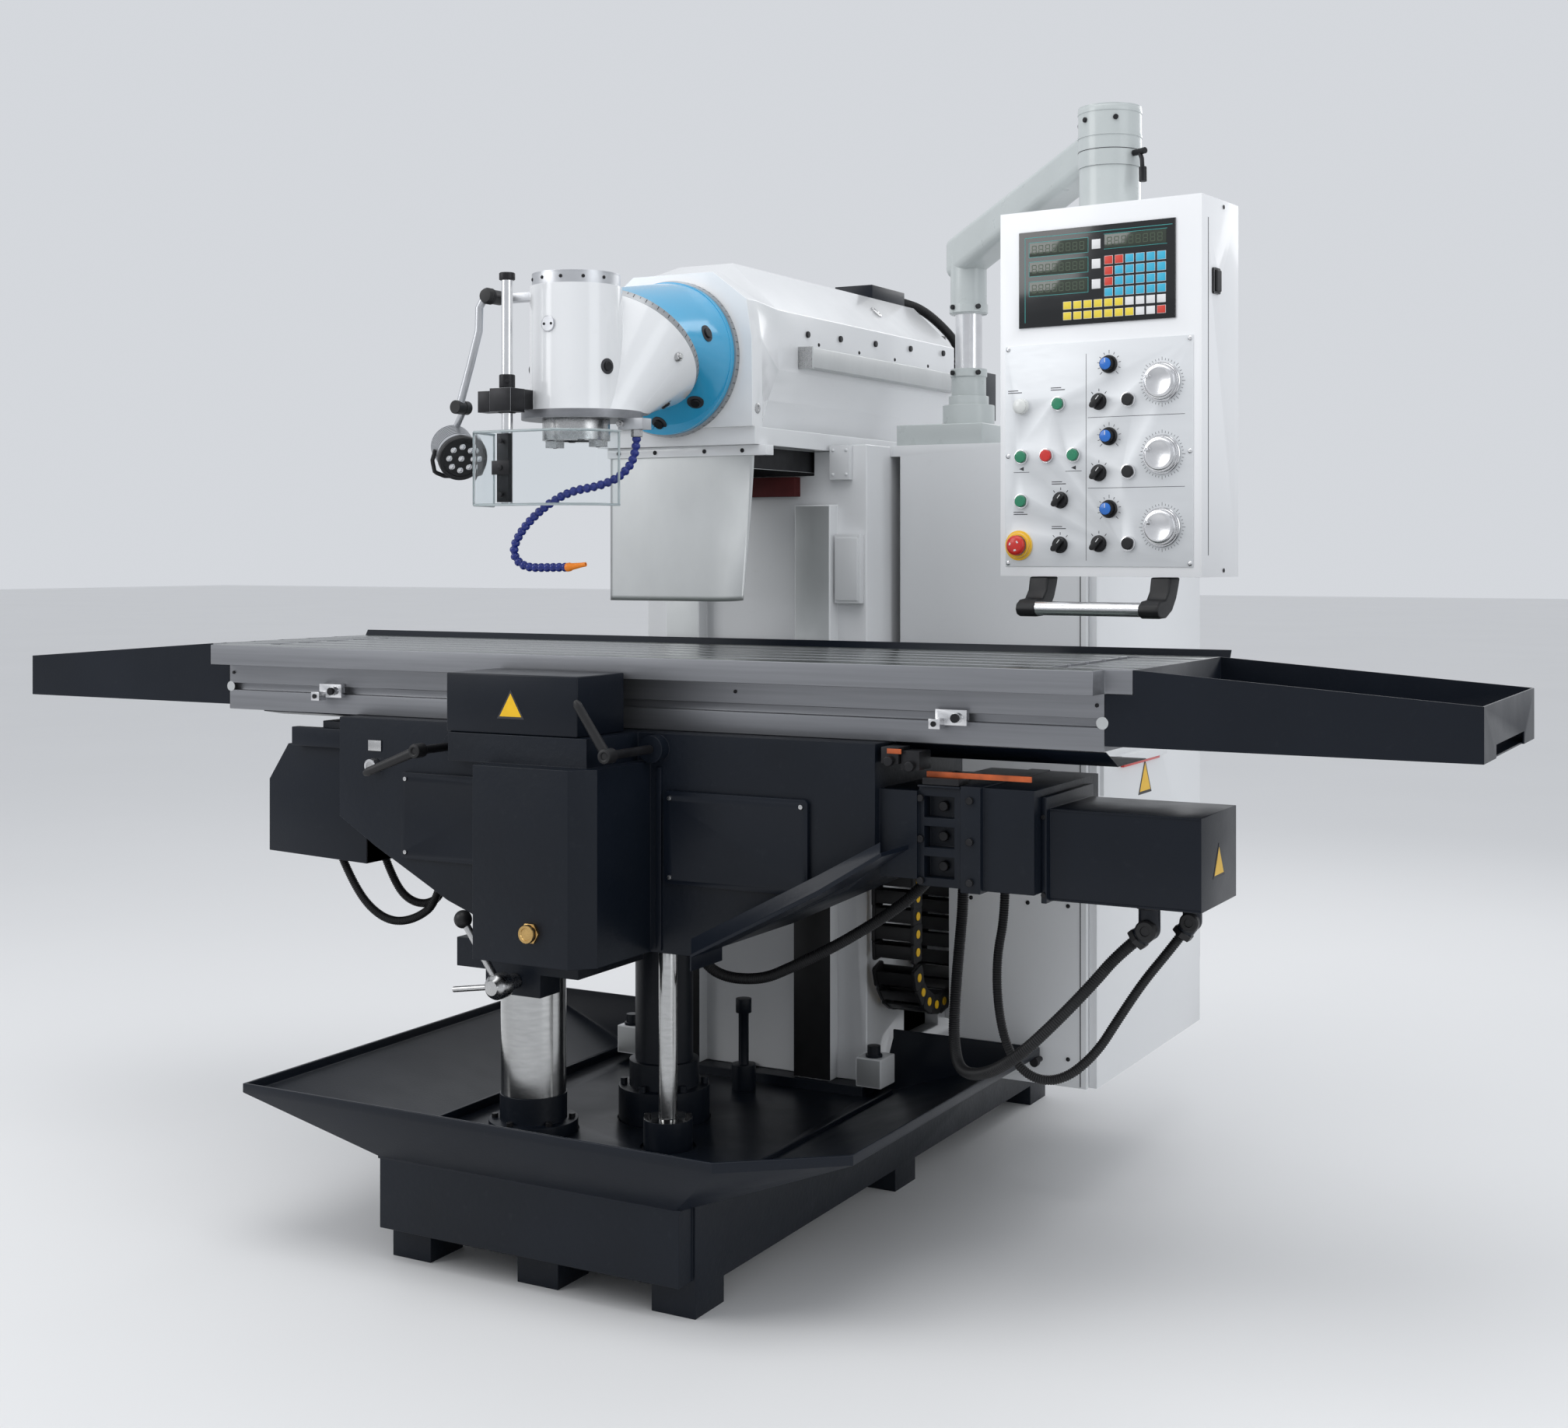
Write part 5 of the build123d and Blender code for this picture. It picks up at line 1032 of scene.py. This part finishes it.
def pendant_paint(f):
    s, h, d = local(f.calc_center_median())
    if h > 700.5:
        return 6
    if s > 416.2:
        return 5
    if d > 0.1:
        if abs(s - 204) <= 163 and abs(h - 568) <= 93:
            return 1
        if d > 2.2:
            if (s - 42) ** 2 + (h - 59) ** 2 < 31 ** 2:
                return 3
            if (s - 48) ** 2 + (h - 326) ** 2 < 15.5 ** 2:
                return 4
            return 7
        return 2
    return 0


from_cad("pendant_box", [BOXWHITE, FILM, PLATE, YELLOW, CREAM, BLACK, GREY, CHROME], 0.0011, 2,
    paint=pendant_paint)
bm = bmesh.new()
cyl(bm, pp(92, -60, 40), pp(324, -60, 40), 13.2, 40)
piece("handle_tube", bm, CHROME, "pendant", ("pendant_handle",))
bm = bmesh.new()
arm = [(-46, -0.8), (-2, -0.8), (4, -26), (18, -42), (40, -44), (53, -52), (56, -62), (52, -72), (40, -76),
    (14, -75), (-12, -62), (-30, -40), (-40, -18)]
for s0 in (62, 314):
    prism(bm, [pp(s0, z, d) for d, z in arm], ACROSS, 40)
piece("handle_brackets", bm, BLACK, "pendant", width=0.0045, segments=4, smooth=50)


def slab(bm, s0, s1, h0, h1, d0, d1, mat=0):
    prism(bm, [pp(s, h, d0) for s, h in ((s0, h0), (s1, h0), (s1, h1), (s0, h1))], OUT, d1 - d0, mat)


# digital readout: displays and keys on the film, 3 mm out of the box's face
ROWS = (625, 588, 550)
bm = bmesh.new()
for h in ROWS:
    slab(bm, 65, 188, h - 13, h + 13, 3.0, 3.5)
slab(bm, 223, 348, 615, 641, 3.0, 3.5)
piece("readout_displays", bm, OLIVE, "pendant", width=0.0002)


def digit(bm, s, h):
    """One unlit seven-segment figure, from its lower left corner."""
    wide, tall, bar = 8.5, 16, 1.5
    bars = [(s, s + wide, low, low + bar) for low in (h + tall - bar, h + tall / 2 - bar / 2, h)]
    for edge in (s, s + wide):
        bars += [(edge - bar / 2, edge + bar / 2, low + 1, low + tall / 2 - 1) for low in (h + tall / 2, h)]
    for b in bars:
        slab(bm, *b, 3.45, 3.62)


bm = bmesh.new()
for h in ROWS:
    for j in range(8):
        digit(bm, 71 + j * 14.4, h - 8)
for j in range(8):
    digit(bm, 229 + j * 14.6, 620)
piece("readout_segments", bm, SEGMENT, "pendant")
bm = bmesh.new()
for h in ROWS:
    slab(bm, 197, 215, h - 9, h + 9, 3.0, 4.1, 0)
for i in range(6):
    for j in range(4):
        red = (i == 0 and j < 3) or (i == 1 and j == 0)
        slab(bm, 223 + i * 21.4, 240.4 + i * 21.4, 585 - j * 20, 601 - j * 20, 3.0, 4.1, 1 if red else 3)
for i in range(10):
    slab(bm, 137 + i * 21.4, 154.4 + i * 21.4, 506, 521, 3.0, 4.1, 2 if i < 6 else 0)
    slab(bm, 137 + i * 21.4, 154.4 + i * 21.4, 486, 501, 3.0, 4.1,
        1 if i == 9 else (0 if i in (7, 8) else 2))
piece("readout_keys", bm, [KEYWHT, KEYRED, KEYYEL, KEYBLUE], "pendant", width=0.0006)
bm = bmesh.new()
for h in ROWS:
    for q in (-14.4, 13.6):
        slab(bm, 63.6, 189.4, h + q, h + q + 0.8, 3.0, 3.12)
    for q in (63.6, 188.6):
        slab(bm, q, q + 0.8, h - 14, h + 14, 3.0, 3.12)
for q in (613.6, 641.6):
    slab(bm, 221.6, 349.4, q, q + 0.8, 3.0, 3.12)
slab(bm, 55, 56, 486, 648, 3.0, 3.12)
slab(bm, 55, 360, 648, 649, 3.0, 3.12)
piece("readout_lines", bm, TEAL, "pendant")
bm = bmesh.new()
for s in (18, 394):
    for h in (25, 231, 437):
        panscrew(bm, pp(s, h, 2.0), OUT, 4.4)
piece("pendant_screws", bm, CHROME, "pendant")

# printed scales and marks on the control plate, and where its turning controls stand
SELECTORS = {"mode_selector": (131, 145), "spindle_selector": (130, 60), "x_feed_selector": (211, 329),
             "y_feed_selector": (211, 195), "z_feed_selector": (211, 62)}
DIALS = {"x_speed_dial": (232, 398), "y_speed_dial": (232, 263), "z_speed_dial": (232, 127)}
WHEELS = {"x_handwheel": (339, 360), "y_handwheel": (339, 226), "z_handwheel": (339, 92)}
PLATE_FACE, INK_DEPTH = 2.0, 0.12


def mark(bm, s, h, turn, inner, outer, half, d=PLATE_FACE):
    """A tick of a round scale about (s, h), from the inner to the outer radius, twice half wide."""
    nx, ny = -sin(turn) * half, cos(turn) * half
    ends = ((inner, -1), (outer, -1), (outer, 1), (inner, 1))
    prism(bm, [pp(s + r * cos(turn) + q * nx, h + r * sin(turn) + q * ny, d) for r, q in ends], OUT,
        INK_DEPTH)


def bar(bm, s0, s1, h0, h1):
    slab(bm, s0, s1, h0, h1, PLATE_FACE, PLATE_FACE + INK_DEPTH)


bm = bmesh.new()
for s, h in DIALS.values():
    for k in range(11):
        mark(bm, s, h, radians(225 - k * 27), 20.0, 24.5 if k % 5 else 26.5, 0.55)
for s, h in SELECTORS.values():
    for turn in (50, 90, 130):
        mark(bm, s, h, radians(turn), 19, 24, 0.7)
for s, h in WHEELS.values():
    for k in range(40):
        mark(bm, s, h, 2 * pi * k / 40, 39.5, 43.5 if k % 5 else 46, 0.4)
for h in (299, 166):
    bar(bm, 188, 384, h, h + 0.9)
bar(bm, 184, 184.9, 30, 420)
for s in (30, 141):
    bar(bm, s, s + 34, 199, 200)
    prism(bm, [pp(s + 12, 206, 2.0), pp(s + 22, 202, 2.0), pp(s + 22, 210, 2.0)], OUT, INK_DEPTH)
for s, h in ((18, 352), (110, 354), (30, 118), (112, 175), (112, 90)):
    bar(bm, s, s + 30, h, h + 1.6)
    bar(bm, s, s + 22, h + 4, h + 5.6)
piece("panel_prints", bm, INK, "pendant")

# push buttons
for node in ("power_button", "jog_left_button", "jog_right_button", "tool_button"):
    from_cad(node, GREEN, 0.0018, 4)
from_cad("stop_button", RED, 0.0018, 4)
for node in ("x_axis_button", "y_axis_button", "z_axis_button"):
    from_cad(node, BLACK, 0.0018, 4)
from_cad("side_key", BLACK, 0.0025, 3)
bm = bmesh.new()
dome = [(1 + 5 * sin(k * pi / 10), 14.2 * cos(k * pi / 10)) for k in range(1, 5)]
revolve(bm, pp(48, 326, 11), OUT, [(0, 14.2), (-1.13, 14.2)] + dome + [(6, 0)])
piece("pilot_lens", bm, CREAM, "pendant")

# emergency stop: domed mushroom with a grip rim
bm = bmesh.new()
revolve(bm, pp(42, 59, 8.3), OUT, [(0, 13), (4, 17.5), (6, 19), (10, 19), (12, 18.2), (14, 16), (15.2, 12),
    (15.8, 6), (16, 0)], 48)
for k in range(3):
    t = 2 * pi * k / 3 + 0.5
    corners = ((8, t), (8, t + 0.5), (11, t + 0.5), (11, t))
    prism(bm, [pp(42 + r * cos(a), 59 + r * sin(a), 23.6) for r, a in corners], OUT, 0.7, 1)
piece("emergency_stop_cap", bm, [RED, KEYWHT], "emergency_stop", ("emergency_stop",), smooth=50)

# selectors: round base with a chamfered wing and a white line
TURN = radians(-40)
ALONG, SIDE = (-sin(TURN), cos(TURN)), (cos(TURN), sin(TURN))


def turned(s, h, outline, d):
    """An outline of (along, side) points, turned like the selectors' wings."""
    return [pp(s + ALONG[0] * u + SIDE[0] * w, h + ALONG[1] * u + SIDE[1] * w, d) for u, w in outline]


WING = ((-15, 0), (-13.6, 3.4), (-9, 5.4), (9, 5.4), (13.6, 3.8), (15.2, 0), (13.6, -3.8), (9, -5.4),
    (-9, -5.4), (-13.6, -3.4))
for node, (s, h) in SELECTORS.items():
    bm = bmesh.new()
    revolve(bm, pp(s, h, 2.3), OUT, [(0, 16), (2, 16), (2.4, 14.8), (7, 14.0), (7.4, 13.0), (7.4, 0)], 40,
        1)
    prism(bm, turned(s, h, WING, 9.4), OUT, 12.6)
    piece(node + "_knob", bm, [BLACK, BLACKST], node, (node,), width=0.0009)
    bm = bmesh.new()
    prism(bm, turned(s, h, ((4, -0.7), (13, -0.7), (13, 0.7), (4, 0.7)), 21.9), OUT, 0.3)
    piece(node + "_line", bm, KEYWHT, node)

# speed dials: knurled skirt, blue cap with a white pointer
for node, (s, h) in DIALS.items():
    bm = bmesh.new()
    revolve(bm, pp(s, h, 2.3), OUT, [(0, 17), (3, 17), (5, 15.4), (5, 12.6), (16, 12.2), (16, 0)], 40)
    for k in range(24):
        t = 2 * pi * k / 24
        revolve(bm, pp(s + 12.3 * cos(t), h + 12.3 * sin(t), 7.4), OUT, [(0, 1.0), (10.4, 0.9), (10.6, 0)],
            6)
    revolve(bm, pp(s, h, 18.2), OUT, [(0, 11.2), (2.0, 11.0), (2.8, 9.4), (2.8, 0)], 36, 1)
    piece(node + "_knob", bm, [BLACK, KNOBBLUE], node, (node,), smooth=36)
    bm = bmesh.new()
    slab(bm, s - 0.7, s + 0.7, h + 2, h + 10, 20.8, 21.2)
    piece(node + "_line", bm, KEYWHT, node)

# handwheels: knurled aluminium dials with a small crank knob
RIM = [(0, 37), (4.0, 37), (5.2, 36), (5.2, 33.5), (6, 32.6), (12, 31.6), (12.4, 30), (16.6, 29.0),
    (17.8, 27.0), (18, 24), (16.8, 21), (16.8, 0)]
for node, (s, h) in WHEELS.items():
    bm = bmesh.new()
    revolve(bm, pp(s, h, 2.3), OUT, RIM, 72)
    for k in range(72):
        t = 2 * pi * k / 72
        revolve(bm, pp(s + 31.9 * cos(t), h + 31.9 * sin(t), 8.0), OUT, [(0, 0.9), (6, 0.8), (6.2, 0)], 5)
    piece(node + "_dial", bm, CHROME, node, (node,), smooth=34)
    bm = bmesh.new()
    revolve(bm, pp(s - 19, h + 8, 16.9), OUT,
        [(0, 4.6), (2, 4.6), (2.4, 3.8), (13, 3.4), (14, 2.6), (14, 0)], 24)
    piece(node + "_grip", bm, CHROME, node, smooth=40)
    bm = bmesh.new()
    for k in range(100):
        mark(bm, s, h, 2 * pi * k / 100, 33.8, 35.6 if k % 5 else 36.3, 0.16, 7.45)
    piece(node + "_marks", bm, INK, node)

# screws over the pendant's handle, then plugs and a seam by its right side
bm = bmesh.new()
for s in (82, 334):
    hexbolt(bm, pp(s, -2, -16) - UPWARD * 1.2, DOWN, 5, 3)
piece("handle_screws", bm, BLACKST, "pendant")
bm = bmesh.new()
for h in (12, 688):
    cyl(bm, pp(416.2, h, -100), pp(417.4, h, -100), 4, 14)
slab(bm, 415.9, 416.6, 40, 660, -30, -28.6)
piece("pendant_side_details", bm, BLACKST, "pendant")

# --- floor, light and finish
FLOOR_HALF = 60.0
bm = bmesh.new()
bm.faces.new([bm.verts.new((x * FLOOR_HALF, y * FLOOR_HALF, 0)) for x,
    y in ((-1, -1), (1, -1), (1, 1), (-1, 1))])
me = bpy.data.meshes.new("floor")
bm.to_mesh(me)
floor = bpy.data.objects.new("floor", me)
bpy.context.scene.collection.objects.link(floor)
me.materials.append(material("studio_floor", (0.80, 0.80, 0.80), rough=0.6, vary=(0.01, 0.5), spec=0.3))

world = bpy.data.worlds.new("studio")
bpy.context.scene.world = world
world.use_nodes = True
background = world.node_tree.nodes["Background"]
background.inputs["Color"].default_value = (0.92, 0.95, 1.0, 1)
background.inputs["Strength"].default_value = 0.72


def area(name, loc, target, size, power, colour=(1, 1, 1)):
    d = bpy.data.lights.new(name, "AREA")
    d.shape = "RECTANGLE"
    d.size, d.size_y = size
    d.energy = power
    d.color = colour
    o = bpy.data.objects.new(name, d)
    o.location = loc
    o.rotation_euler = (Vector(target) - Vector(loc)).to_track_quat("-Z", "Y").to_euler()
    bpy.context.scene.collection.objects.link(o)


area("key_left", (-3.4, -3.6, 3.6), (0, 0, 1.2), (2.6, 3.0), 80)
area("key_top", (0.4, -1.2, 5.0), (0, 0.2, 1.0), (4.0, 3.0), 66)
area("fill_right", (4.6, -1.0, 2.6), (0.4, 0.2, 1.2), (2.2, 3.2), 34, (0.95, 0.98, 1.0))
area("rim_back", (1.0, 4.5, 3.6), (0, 0.5, 1.4), (3.0, 2.0), 36)
bpy.context.scene.view_settings.view_transform = "Standard"
bpy.context.scene.view_settings.look = "None"
